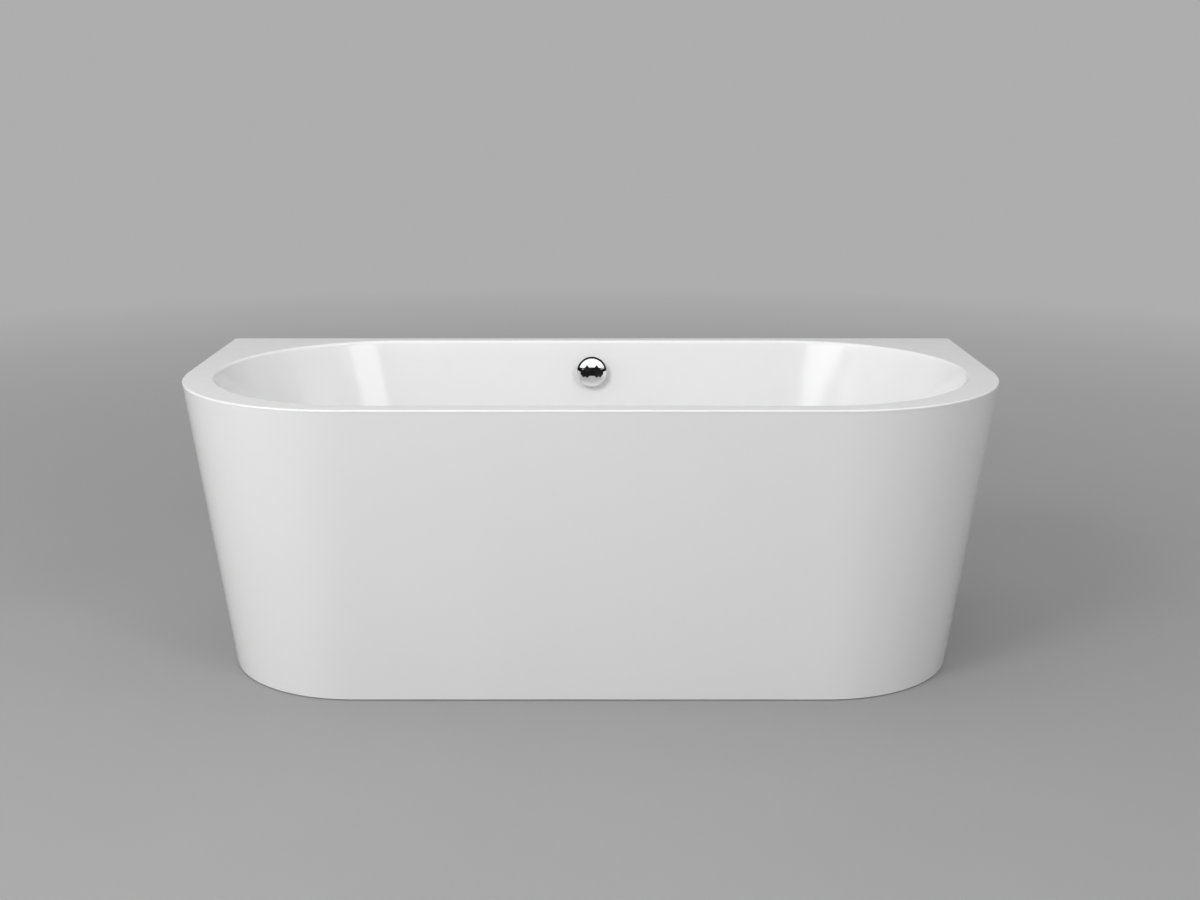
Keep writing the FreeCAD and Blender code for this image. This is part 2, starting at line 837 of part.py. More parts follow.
def waste_body():
    """A cup under the floor with a side inlet for the overflow and two lugs for the lever's pin."""
    lip_low = f"({waste_top} - waste_wall)"
    inside = "(waste_radius - waste_wall)"
    tail_bore = "(tail_radius - tail_wall)"
    profile = (
        ("neck_radius + fit_gap", waste_top),
        ("waste_lip", waste_top),
        ("waste_lip", lip_low),
        ("waste_radius", lip_low),
        ("waste_radius", "waste_bottom"),
        ("tail_radius", "waste_bottom"),
        ("tail_radius", "waste_bottom - tail_drop"),
        (tail_bore, "waste_bottom - tail_drop"),
        (tail_bore, "waste_bottom + tail_wall"),
        (inside, "waste_bottom + tail_wall"),
        (inside, lip_low),
        ("neck_radius + fit_gap", lip_low),
    )
    cup = on_waste(turned("cup", profile))
    start = f"({basin_y} + {inside} + waste_wall / 2)"
    reach = "(waste_wall / 2 + hose_nut_length)"
    inlet = place(rod("hose_radius", reach), "0", f"{start} + {reach}", "hose_height", X_AXIS, "90")
    bore_length = "(hose_nut_length + 2 * waste_wall + overrun)"
    bore_end = f"{start} + {reach} + overrun"
    bore = place(rod("hose_bore", bore_length), "0", bore_end, "hose_height", X_AXIS, "90")
    lugs = []
    for side in (-1, 1):
        x = f"{side} * (lug_half_gap + lug_thick / 2)"
        back = f"({basin_y} + sqrt({inside}^2 - lug_half_gap^2) + waste_wall / 4)"
        front = f"({basin_y} + lug_front)"
        length = f"({back} - {front})"
        low = "lever_height - lug_half_tall"
        lugs.append(block(x, f"{front} + {length} / 2", low, "lug_thick", length, "2 * lug_half_tall"))
    pin_hole = rod("pin_radius + pin_run", "2 * pin_half_length")
    place(pin_hole, "0 - pin_half_length", lever_y, "lever_height", Y_AXIS, "90")
    cable = rod("cable_radius + fit_gap", "waste_radius")
    place(cable, "cable_side", f"{basin_y} + 3 * waste_radius / 2", "cable_height", X_AXIS, "90")
    return node(cut(fused(cup, inlet, *lugs), bore, pin_hole, cable), "waste_body")


def trap_body():
    top = "(waste_bottom - body_seal_thick)"
    inside = "(trap_radius - trap_wall)"
    profile = (
        ("0", "trap_bottom"),
        ("trap_radius", "trap_bottom"),
        ("trap_radius", f"{top} - trap_lip_thick"),
        ("trap_lip", f"{top} - trap_lip_thick"),
        ("trap_lip", top),
        (inside, top),
        (inside, "trap_bottom + trap_wall"),
        ("0", "trap_bottom + trap_wall"),
    )
    cup = on_waste(turned("trap_cup", profile))
    end = f"({basin_y} + spigot_reach)"
    spigot = rod("spigot_radius", f"spigot_reach - {inside} - trap_wall / 3")
    place(spigot, "0", end, "outlet_height", X_AXIS, "90")
    bore = place(rod("outlet_bore", "spigot_reach"), "0", f"{end} + overrun", "outlet_height", X_AXIS, "90")
    return node(cut(fused(cup, spigot), bore), "trap_body")


def trap_fittings():
    low = "(waste_bottom - body_seal_thick)"
    seal = ring("trap_ring", "tail_radius + fit_gap", "trap_lip", low, "waste_bottom")
    node(on_waste(seal), "trap_seal")
    nut_low = f"({low} - trap_lip_thick + fit_gap)"
    nut = ring("trap_collar", "trap_lip + fit_gap", "trap_nut_radius", nut_low, f"{nut_low} + trap_nut_tall")
    node(on_waste(nut), "trap_nut")


def outlet():
    """The drain pipe, which narrows inside the nut that joins it to the trap."""
    start = f"({basin_y} + spigot_reach)"
    length = f"(outlet_end - {start})"
    step = f"({length} - outlet_nut_length / 2 - spigot_past_nut)"
    profile = (
        ("outlet_bore", "0"),
        ("outlet_radius", "0"),
        ("outlet_radius", step),
        ("spigot_radius", step),
        ("spigot_radius", length),
        ("outlet_bore", length),
    )
    pipe = place(turned("pipe", profile), "0", "outlet_end", "outlet_height", X_AXIS, "90")
    node(pipe, "outlet_pipe")
    nut = ring("outlet_ring", "spigot_radius + fit_gap", "outlet_nut_radius", "0", "outlet_nut_length")
    place(nut, "0", f"{start} + outlet_nut_length / 2", "outlet_height", X_AXIS, "90")
    node(nut, "outlet_nut")


def plug():
    """The chrome plug cap, its seal and the stem that the lever pushes up."""
    rim = f"({plug_low} + plug_thick)"
    crown = f"((plug_radius^2 + plug_crown^2) / (2 * plug_crown))"
    profile = (("0", plug_low), ("plug_radius", plug_low), ("plug_radius", rim), ("0", f"{rim} + plug_crown"))
    dome = {2: ("0", f"{rim} + plug_crown - {crown}", crown)}
    node(on_waste(turned("plug_cap", profile, dome)), "drain_plug")
    node(on_waste(ring("plug_ring", "plug_seal_in", "plug_seal_out", seal_low, plug_low)), "plug_seal")
    node(on_waste(rod("stem_radius", f"{plug_low} - {stem_bottom}"), stem_bottom), "plug_stem")


def lift_lever():
    width = "lever_wide"
    hub = place(rod("lever_hub", width), f"0 - {width} / 2", lever_y, "lever_height", Y_AXIS, "90")
    low = "lever_height - lever_thick / 2"
    arm = block("0", f"{lever_y} - lever_reach / 2", low, width, "lever_reach", "lever_thick")
    bore = rod("pin_radius + pin_run", f"{width} + 2 * overrun")
    place(bore, f"0 - {width} / 2 - overrun", lever_y, "lever_height", Y_AXIS, "90")
    node(cut(fused(hub, arm), bore), "lift_lever")
    pin = rod("pin_radius", "2 * (lug_half_gap + lug_thick)")
    place(pin, "0 - lug_half_gap - lug_thick", lever_y, "lever_height", Y_AXIS, "90")
    node(pin, "lever_pin")


# Overflow and knob

def overflow_plate():
    profile = (
        ("spindle_radius + spindle_run", "0"),
        ("face_radius", "0"),
        ("face_radius", "face_thick / 2"),
        ("face_radius - face_thick / 2", "face_thick"),
        ("spindle_radius + spindle_run", "face_thick"),
    )
    plate = on_overflow(turned("face", profile))
    holes = []
    for side in (-1, 1):
        for x, up in ((f"{side} * face_slot_circle", "0"), ("0", f"{side} * face_slot_circle")):
            slot = rod("face_slot", "face_thick + 2 * overrun")
            holes.append(on_overflow(slot, x, up, "0 - overrun"))
    for x, up in box_screw_places():
        hole = rod("box_screw_radius + fit_gap", "face_thick + 2 * overrun")
        holes.append(on_overflow(hole, x, up, "0 - overrun"))
    return node(cut(plate, *holes), "overflow_plate")


def box_screw_places():
    """Where two long screws pull the overflow's plate and box together."""
    for side in (-1, 1):
        yield f"{side} * box_screw_circle * sin(45)", f"{side} * box_screw_circle * cos(45)"


def overflow_seal():
    seal = ring("overflow_ring", "back_seal_in", "back_seal_out", box_front, backing_face)
    return node(on_overflow(seal), "overflow_seal")


def overflow_body():
    """A round box behind the wall with a spigot that points down along it."""
    inside = "(box_radius - box_wall)"
    profile = (
        ("box_radius", box_front),
        ("box_radius", box_back),
        ("0", box_back),
        ("0", f"{box_back} + box_wall"),
        (inside, f"{box_back} + box_wall"),
        (inside, box_front),
    )
    box = on_overflow(turned("overflow_box", profile))
    stub = f"(3 * {inside} / 4)"
    reach = f"(box_outlet_reach - {stub})"
    spigot = rod("hose_radius", reach)
    down(spigot, "0", f"0 - {stub}", box_middle)
    bore = rod("hose_bore", f"{reach} + 2 * box_wall + overrun")
    down(bore, "0", f"2 * box_wall - {stub}", box_middle)
    wire = rod("cable_radius + fit_gap", "box_radius")
    down(wire, "cable_side", "0", box_middle)
    ear = rod("ferrule_radius", f"{ferrule_seat} - {inside} / 3")
    down(ear, "cable_side", f"0 - {inside} / 3", box_middle)
    screw_ends = []
    for x, up in box_screw_places():
        hole = rod("box_screw_radius + fit_gap", "box_wall + 2 * overrun")
        screw_ends.append(on_overflow(hole, x, up, f"{box_back} - overrun"))
    return node(cut(fused(box, spigot, ear), bore, wire, *screw_ends), "overflow_body")


def down(item, x, up, out):
    """Place a rod so that it runs down along the wall from a point in the overflow's frame."""
    y = f"{overflow_y} + ({up}) * sin({side_lean}) - ({out}) * cos({side_lean})"
    z = f"{overflow_z} + ({up}) * cos({side_lean}) + ({out}) * sin({side_lean})"
    return place(item, x, y, z, X_AXIS, f"180 deg - {side_lean}")


def overflow_screws():
    screws = []
    for x, up in box_screw_places():
        shank = on_overflow(rod("box_screw_radius", f"face_thick - {box_back}"), x, up, box_back)
        head = on_overflow(rod("2 * box_screw_radius", "box_screw_radius"), x, up, "face_thick")
        screws.append(fused(shank, head))
    return node(group(screws), "overflow_screws")


def knob():
    """The chrome knob, hollow behind, on a spindle with the drum that winds the cable."""
    low = "(face_thick + knob_stand)"
    rim = f"({low} + knob_edge)"
    crown = "((knob_radius^2 + knob_crown^2) / (2 * knob_crown))"
    profile = (
        ("spindle_radius", f"{low} + knob_hollow"),
        ("spindle_radius", low),
        ("2 * spindle_radius", low),
        ("2 * spindle_radius", f"{low} + knob_edge"),
        ("knob_radius - knob_wall", f"{low} + knob_edge"),
        ("knob_radius - knob_wall", low),
        ("knob_radius - knob_edge_round", low),
        ("knob_radius", f"{low} + knob_edge_round"),
        ("knob_radius", rim),
        ("0", f"{rim} + knob_crown"),
        ("0", f"{low} + knob_hollow"),
    )
    arcs = {
        6: ("knob_radius - knob_edge_round", f"{low} + knob_edge_round", "knob_edge_round"),
        8: ("0", f"{rim} + knob_crown - {crown}", crown),
    }
    node(on_overflow(turned("dial", profile, arcs)), "overflow_knob")
    spindle = rod("spindle_radius", f"{low} + knob_hollow + spindle_in")
    node(on_overflow(spindle, out="0 - spindle_in"), "knob_spindle")
    drum_low = "(0 - drum_back - drum_thick)"
    groove_low = f"({drum_low} + drum_thick / 2 - drum_groove)"
    groove_high = f"({drum_low} + drum_thick / 2 + drum_groove)"
    drum_profile = (
        ("spindle_radius", drum_low),
        ("drum_radius", drum_low),
        ("drum_radius", groove_low),
        ("drum_radius - drum_groove", f"{drum_low} + drum_thick / 2"),
        ("drum_radius", groove_high),
        ("drum_radius", f"{drum_low} + drum_thick"),
        ("spindle_radius", f"{drum_low} + drum_thick"),
    )
    node(on_overflow(turned("drum", drum_profile)), "cable_drum")


# Hose and cable, each on a straight run, one bend and a straight run

class Route:
    """A path down along the back wall, round one bend and level to the waste."""

    def __init__(self, side, level, bend, start_up, end_y):
        lean = math.radians(number(side_lean))
        out = number(box_middle)
        up = number(start_up)
        self.slope = FreeCAD.Vector(0, -math.sin(lean), -math.cos(lean))
        self.level = FreeCAD.Vector(0, -1, 0)
        start_y = number(overflow_y) + up * math.sin(lean) - out * math.cos(lean)
        start_z = number(overflow_z) + up * math.cos(lean) + out * math.sin(lean)
        self.start = FreeCAD.Vector(number(side), start_y, start_z)
        drop = (start_z - number(level)) / math.cos(lean)
        corner = self.start + self.slope * drop
        self.bend = number(bend)
        self.turn = math.pi / 2 - lean
        reach = self.bend * math.tan(self.turn / 2)
        self.bend_start = corner - self.slope * reach
        self.bend_end = corner + self.level * reach
        self.centre = self.bend_end + FreeCAD.Vector(0, 0, self.bend)
        self.end = FreeCAD.Vector(number(side), number(end_y), number(level))
        self.first = (self.bend_start - self.start).Length
        self.arc = self.bend * self.turn
        self.length = self.first + self.arc + (self.end - self.bend_end).Length

    def frame(self, distance):
        """Point and direction at a distance from the start."""
        if distance <= self.first:
            return self.start + self.slope * distance, self.slope
        if distance <= self.first + self.arc:
            left = self.turn - (distance - self.first) / self.bend
            spoke = FreeCAD.Vector(0, math.sin(left), -math.cos(left))
            return self.centre + spoke * self.bend, FreeCAD.Vector(0, -math.cos(left), -math.sin(left))
        return self.bend_end + self.level * (distance - self.first - self.arc), self.level

    def circle(self, distance, radius):
        """A circle round the path, on a steady X axis."""
        point, direction = self.frame(distance)
        turn = FreeCAD.Rotation(X_AXIS, FreeCAD.Vector(), direction, "ZXY")
        wire = Part.Wire(Part.makeCircle(radius))
        wire.Placement = FreeCAD.Placement(point, turn)
        return wire

    def tube(self, radius):
        """A plain round tube along the whole path."""
        middle, _ = self.frame(self.first + self.arc / 2)
        edges = [
            Part.LineSegment(self.start, self.bend_start).toShape(),
            Part.Arc(self.bend_start, middle, self.bend_end).toShape(),
            Part.LineSegment(self.bend_end, self.end).toShape(),
        ]
        return Part.Wire(edges).makePipeShell([self.circle(0, radius)], True, False)


def overflow_hose():
    """A ribbed hose with a smooth bore and plain ends one diameter long."""
    end_y = f"({basin_y} + waste_radius + hose_nut_length)"
    route = Route("0", "hose_height", "hose_bend", "0 - box_outlet_reach", end_y)
    cuff = 2 * number("hose_radius")
    ribs = round((route.length - 2 * cuff) / number("hose_pitch"))
    pitch = (route.length - 2 * cuff) / ribs
    circles = [route.circle(0, number("hose_radius")), route.circle(cuff, number("hose_radius"))]
    for rib in range(ribs):
        for share, radius in RIB_SHARES:
            circles.append(route.circle(cuff + (rib + share) * pitch, number(radius)))
    circles.append(route.circle(route.length - cuff, number("hose_radius")))
    circles.append(route.circle(route.length, number("hose_radius")))
    skin = Part.makeLoft(circles, True, True)
    hose = doc.addObject("Part::Feature", "hose")
    hose.Shape = skin.cut(route.tube(number("hose_bore")))
    print("hose", round(route.length), "mm,", ribs, "ribs")
    node(hose, "overflow_hose")


def hose_nuts():
    """Collars over the hose's two joints."""
    low = "0 - hose_nut_length / 2"
    high = "hose_nut_length / 2"
    upper = ring("upper_collar", "hose_radius + fit_gap", "hose_nut_radius", low, high)
    down(upper, "0", "0 - box_outlet_reach - box_wall", box_middle)
    lower = ring("lower_collar", "hose_radius + fit_gap", "hose_nut_radius", low, high)
    place(lower, "0", f"{basin_y} + waste_radius + hose_nut_length + box_wall", "hose_height", X_AXIS, "90")
    return node(group((upper, lower)), "hose_nuts")


def bowden_cable():
    """The cable's sleeve, from the overflow's box to the waste's cup."""
    wall = "sqrt(waste_radius^2 - cable_side^2)"
    end_y = f"({basin_y} + {wall} - waste_wall / 2)"
    route = Route("cable_side", "cable_height", "cable_bend", "0 - box_radius / 2", end_y)
    cable = doc.addObject("Part::Feature", "cable")
    cable.Shape = route.tube(number("cable_radius"))
    section = math.pi * number("cable_radius") ** 2
    print("cable", round(route.length), "mm, volume share", cable.Shape.Volume / (section * route.length))
    node(cable, "bowden_cable")


def cable_ferrules():
    """Metal sleeves where the cable leaves the overflow's box and enters the waste's cup."""
    upper = ring("upper_ferrule", "cable_radius + fit_gap", "ferrule_radius", "0", "ferrule_length")
    down(upper, "cable_side", f"0 - {ferrule_seat} - fit_gap", box_middle)
    lower = ring("lower_ferrule", "cable_radius + fit_gap", "ferrule_radius", "0", "ferrule_length")
    front = f"({basin_y} + sqrt(waste_radius^2 - (cable_side - ferrule_radius)^2) + fit_gap)"
    place(lower, "cable_side", f"{front} + ferrule_length", "cable_height", X_AXIS, "90")
    return node(group((upper, lower)), "cable_ferrules")


# All pieces

tub_shell()
tub_laminate()
skirt_panel()
skirt_laminate()
base_board()
rim_blocks()
rail("front_rail", -1)
rail("rear_rail", 1)
cross_tubes()
rear_beam()
rear_posts()
post_plates()
tube_end_caps()
wood_screws()
skirt_brackets()
weld_nuts()
for foot_number, foot_place in enumerate(feet(), start=1):
    foot(foot_number, *foot_place)
waste_flange()
flange_seal()
body_seal()
waste_body()
trap_body()
trap_fittings()
outlet()
plug()
lift_lever()
overflow_plate()
overflow_seal()
overflow_body()
overflow_screws()
knob()
overflow_hose()
hose_nuts()
bowden_cable()
cable_ferrules()
doc.recompute()

for item in doc.Objects:
    if "Invalid" in item.State or "Error" in item.State:
        raise RuntimeError(f"{item.Label} failed: {item.State}")
for item in nodes:
    if item.Shape.isNull() or not item.Shape.isValid() or not item.Shape.Solids:
        raise RuntimeError(f"{item.Label} has no valid shape")

os.makedirs("parts", exist_ok=True)
for item in nodes:
    item.Shape.exportStep(f"parts/{item.Label}.step")
print(len(nodes), "nodes")
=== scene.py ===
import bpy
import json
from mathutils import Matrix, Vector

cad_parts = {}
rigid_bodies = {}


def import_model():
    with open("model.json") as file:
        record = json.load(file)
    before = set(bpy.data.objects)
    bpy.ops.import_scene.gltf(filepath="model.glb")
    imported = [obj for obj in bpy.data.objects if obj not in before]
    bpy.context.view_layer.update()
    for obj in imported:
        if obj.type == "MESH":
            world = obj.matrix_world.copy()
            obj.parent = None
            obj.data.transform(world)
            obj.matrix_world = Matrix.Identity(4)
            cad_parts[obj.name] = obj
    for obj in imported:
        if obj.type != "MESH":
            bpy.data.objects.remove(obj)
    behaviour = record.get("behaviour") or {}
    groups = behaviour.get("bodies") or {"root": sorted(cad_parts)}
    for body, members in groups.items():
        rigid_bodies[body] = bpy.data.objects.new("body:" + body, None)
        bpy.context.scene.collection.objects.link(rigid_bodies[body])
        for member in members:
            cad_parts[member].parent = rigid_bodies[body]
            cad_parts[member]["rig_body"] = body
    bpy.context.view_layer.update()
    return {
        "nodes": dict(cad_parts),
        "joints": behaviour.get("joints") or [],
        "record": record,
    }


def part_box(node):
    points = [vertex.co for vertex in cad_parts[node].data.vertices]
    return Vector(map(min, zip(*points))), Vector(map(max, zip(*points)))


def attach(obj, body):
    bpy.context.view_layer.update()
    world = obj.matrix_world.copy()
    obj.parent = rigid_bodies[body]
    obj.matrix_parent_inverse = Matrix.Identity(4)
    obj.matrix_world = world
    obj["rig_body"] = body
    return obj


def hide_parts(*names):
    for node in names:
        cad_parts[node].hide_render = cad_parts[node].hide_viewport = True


bl_info = {
    "name": "Back-to-wall Bathtub",
    "version": (1, 0, 0),
    "blender": (4, 5, 0),
    "location": "View3D > Sidebar > Bathtub",
    "description": "Dresses a D-shaped bathtub: acrylic, chrome, frame, feet, waste and overflow",
    "category": "Object",
}

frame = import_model()

import json
import math

import bmesh
import bpy
from bpy.props import FloatProperty, FloatVectorProperty, IntProperty, PointerProperty
from mathutils import Matrix, Vector

TUB_LOW, TUB_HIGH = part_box("tub_shell")
SKIRT_LOW, SKIRT_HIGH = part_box("skirt_panel")
X_AXIS = Vector((1, 0, 0))
Y_AXIS = Vector((0, 1, 0))
Z_AXIS = Vector((0, 0, 1))
QUARTER = math.pi / 2
FEET = range(1, 6)


def joint(name):
    """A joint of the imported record."""
    return next(item for item in frame["joints"] if item["name"] == name)


def body_of(node):
    """The body that a CAD node rides on."""
    return frame["nodes"][node]["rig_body"]


# Sizes, finishes and studio settings

def length(name, description, default):
    """A size in metres."""
    return FloatProperty(
        name=name, description=description, default=default, min=0, unit="LENGTH", precision=4
    )


def colour(name, description, default):
    """A linear colour."""
    return FloatVectorProperty(
        name=name, description=description, default=default, min=0, max=1, size=3, subtype="COLOR"
    )


def level(name, description, default):
    """A strength, a power, or a measure of the lens in millimetres."""
    return FloatProperty(name=name, description=description, default=default, min=0)


class BathtubSizes(bpy.types.PropertyGroup):
    """Sizes that the frame's boxes don't give."""
    corner_radius: length("Corner radius", "Plan radius of the rim's front corners", 0.358)
    skirt_inset: length("Skirt inset", "How far the skirt leans in at the floor", 0.073)
    rim_end: length("Rim at the ends", "Flat rim beside the basin's ends", 0.058)
    rim_back: length("Rim at the back", "Flat rim along the wall", 0.032)
    rim_front: length("Rim at the front", "Flat rim along the front", 0.042)
    edge_round: length("Outer edge", "Rounding of the rim's outer edge", 0.003)
    basin_edge: length("Basin edge", "Rounding where the rim turns down", 0.008)
    floor_half_length: length("Floor half length", "Half of the basin floor's length", 0.59)
    floor_half_width: length("Floor half width", "Half of the basin floor's width", 0.24)
    basin_round: length("Basin rounding", "Rounding between basin floor and wall", 0.09)
    sheet: length("Acrylic sheet", "Thickness of the acrylic", 0.004)
    bond: length("Bond", "Glue gap between the acrylic and its backing", 0.0003)
    backing: length("Backing", "Thickness of the glass-fibre backing", 0.003)
    window_half: length("Back window", "Half width of the opening in the skirt's back", 0.705)
    drain_hole: length("Drain hole", "Radius of the hole in the floor", 0.026)
    overflow_hole: length("Overflow hole", "Radius of the hole behind the knob", 0.024)
    knob_radius: length("Knob", "Radius of the knob", 0.034)
    knob_gap: length("Knob gap", "How far the knob's rim stands off the basin's wall", 0.011)
    knob_edge: length("Knob edge", "Height of the knob's rim", 0.006)
    knob_crown: length("Knob crown", "Height of the knob's dome over its rim", 0.015)
    knob_wall: length("Knob wall", "Thickness of the knob's rim", 0.003)
    knob_lip: length("Knob lip", "Rounding at the back of the knob's rim", 0.0025)
    knob_shoulder: length("Knob shoulder", "Rounding from the rim into the dome", 0.0015)
    knob_shoulder_drop: length("Knob shoulder drop", "How far it starts below the rim's top", 0.0006)
    knob_hub: length("Knob hub", "Radius of the hub behind the dome", 0.01)
    knob_bore: length("Knob bore", "Radius of the spindle's hole in the hub", 0.005)
    knob_bore_depth: length("Knob bore depth", "Depth of the spindle's hole", 0.012)
    plug_rim: length("Plug rim", "Height of the plug's rim", 0.0025)
    plug_edge: length("Plug edge", "Rounding of the plug's rim", 0.001)
    waste_radius: length("Waste cup", "Radius of the cup under the floor", 0.046)
    box_reach: length("Overflow box", "How far behind the basin's wall hose and cable start", 0.0228)
    fit_gap: length("Fit gap", "Clearance between the hose and its nuts", 0.0003)
    hose_radius: length("Hose crest", "Radius of the hose's ribs", 0.012)
    hose_root: length("Hose root", "Radius between the ribs", 0.01)
    hose_bore: length("Hose bore", "Inner radius of the hose", 0.0085)
    hose_pitch: length("Rib pitch", "Distance from rib to rib", 0.008)
    hose_drop: length("Hose start", "How far below the knob's axis the hose starts", 0.042)
    hose_level: length("Hose level", "Height of the hose's level run", 0.085)
    hose_bend: length("Hose bend", "Radius of the hose's bend", 0.08)
    hose_end: length("Hose end", "Distance from the drain's axis to the hose's end", 0.07)
    hose_nut_radius: length("Hose nut", "Radius of the hose's nuts", 0.0142)
    hose_nut_half: length("Hose nut half", "Half length of the hose's nuts", 0.012)
    hose_nut_start: length("Upper hose nut", "Distance from the hose's start to the nut's middle", 0.003)
    hose_nut_gap: length("Lower hose nut", "Distance from the waste cup to the nut's middle", 0.027)
    cable_radius: length("Cable", "Radius of the cable's sleeve", 0.0025)
    cable_side: length("Cable side", "How far the cable runs beside the hose", 0.02)
    cable_drop: length("Cable start", "How far below the knob's axis the cable starts", 0.0135)
    cable_level: length("Cable level", "Height of the cable's level run", 0.096)
    cable_bend: length("Cable bend", "Radius of the cable's bend", 0.09)
    cable_sink: length("Cable end", "How deep the cable ends in the waste cup", 0.002)
    trap_nut_bore: length("Trap nut bore", "Inner radius of the trap's nut", 0.0463)
    outlet_nut_bore: length("Outlet nut bore", "Inner radius of the outlet's nut", 0.0193)
    grip_chamfer: length("Grip chamfer", "Largest chamfer on a union nut", 0.0012)
    screw_shank: length("Screw shank", "Radius of the wood screws", 0.0025)
    thread_pitch: length("Thread pitch", "Distance from thread to thread on the studs", 0.00175)
    thread_depth: length("Thread depth", "Depth of the studs' thread", 0.0009)
    arc_steps: IntProperty(name="Arc steps", description="Faces in a quarter round", default=28, min=4)


class BathtubFinish(bpy.types.PropertyGroup):
    """Colours of the finishes."""
    acrylic: colour("Acrylic", "White acrylic sheet", (0.80, 0.80, 0.80))
    laminate: colour("Laminate", "Glass-fibre backing", (0.64, 0.62, 0.52))
    plywood: colour("Plywood", "Birch plywood", (0.50, 0.33, 0.18))
    steel: colour("Steel", "Galvanised tube", (0.52, 0.54, 0.56))
    zinc: colour("Zinc", "Zinc-plated fasteners", (0.64, 0.64, 0.62))
    chrome: colour("Chrome", "Polished chrome", (0.86, 0.86, 0.87))
    rubber: colour("Rubber", "Black seals", (0.018, 0.018, 0.018))
    black_plastic: colour("Black plastic", "Caps, pads and cable sleeve", (0.025, 0.025, 0.026))
    white_plastic: colour("White plastic", "Waste and trap", (0.74, 0.74, 0.72))
    grey_plastic: colour("Grey plastic", "Union nuts", (0.22, 0.23, 0.24))
    grey_hose: colour("Grey hose", "Overflow hose", (0.34, 0.35, 0.36))
    brass: colour("Brass", "Stem, lever and spindle", (0.62, 0.43, 0.17))


class BathtubStudio(bpy.types.PropertyGroup):
    """Camera and light."""
    camera_place: FloatVectorProperty(
        name="Camera", description="Where the camera stands", default=(0.0186, -2.9583, 1.1863), size=3,
        unit="LENGTH",
    )
    camera_pitch: FloatProperty(
        name="Pitch", description="How far the camera looks down", default=math.radians(14.344),
        unit="ROTATION",
    )
    lens: level("Lens", "Focal length in millimetres", 43.85)
    sensor: level("Sensor", "Width of the camera's sensor in millimetres", 36.0)
    key_power: level("Key light", "Power of the left softbox", 64.0)
    fill_power: level("Fill light", "Power of the right softbox", 27.0)
    front_power: level("Front light", "Power of the front softbox", 18.0)
    low_power: level("Low light", "Power of the softbox near the floor", 30.0)
    top_power: level("Top light", "Power of the softbox overhead", 9.0)
    side_power: level("Side light", "Power of the screens at the sides", 42.0)
    sheen_glow: level("Sheen", "Brightness of the panels mirrored in the basin", 2.5)
    world_strength: level("Surround", "Strength of the surround", 0.6)


def sizes():
    return bpy.context.scene.bathtub_sizes


def finish_colours():
    return bpy.context.scene.bathtub_finish


def studio():
    return bpy.context.scene.bathtub_studio


# Materials

def rgba(value):
    """A colour or a grey with its alpha."""
    return (*value, 1) if isinstance(value, tuple) else (value, value, value, 1)


def shade(base, factor):
    """A colour, lighter or darker."""
    return tuple(min(1.0, value * factor) for value in base)


class Nodes:
    """Adds nodes to a tree."""

    def __init__(self, tree):
        self.tree = tree

    def add(self, kind, **settings):
        node = self.tree.nodes.new(kind)
        for name, value in settings.items():
            setattr(node, name, value)
        return node

    def put(self, node, socket, value):
        """Link a socket to another node's output, or set its value."""
        if isinstance(value, bpy.types.NodeSocket):
            self.tree.links.new(value, node.inputs[socket])
        else:
            node.inputs[socket].default_value = value

    def math(self, operation, first, second=0.0):
        node = self.add("ShaderNodeMath", operation=operation)
        self.put(node, 0, first)
        self.put(node, 1, second)
        return node.outputs[0]

    def mix(self, factor, first, second):
        """Blend two colours or greys by a value."""
        node = self.add("ShaderNodeMix", data_type="RGBA")
        self.put(node, 0, factor)
        for index, value in ((6, first), (7, second)):
            self.put(node, index, value if isinstance(value, bpy.types.NodeSocket) else rgba(value))
        return node.outputs[2]

    def blend(self, factor, first, second):
        """Blend two shaders by a value."""
        node = self.add("ShaderNodeMixShader")
        for index, value in enumerate((factor, first, second)):
            self.put(node, index, value)
        return node.outputs[0]

    def ramp(self, source, *stops):
        """Map a value to colours; each stop is a place and a colour or grey."""
        node = self.add("ShaderNodeValToRGB")
        self.put(node, "Fac", source)
        for element, (place, value) in zip(node.color_ramp.elements, stops):
            element.position = place
            element.color = rgba(value)
        return node.outputs["Color"]

    def bands(self, coords, axis, scale, profile):
        """A wave of bands across an axis."""
        node = self.add("ShaderNodeTexWave", wave_type="BANDS", bands_direction=axis, wave_profile=profile)
        self.put(node, "Scale", scale)
        self.put(node, "Vector", coords)
        return node.outputs["Fac"]


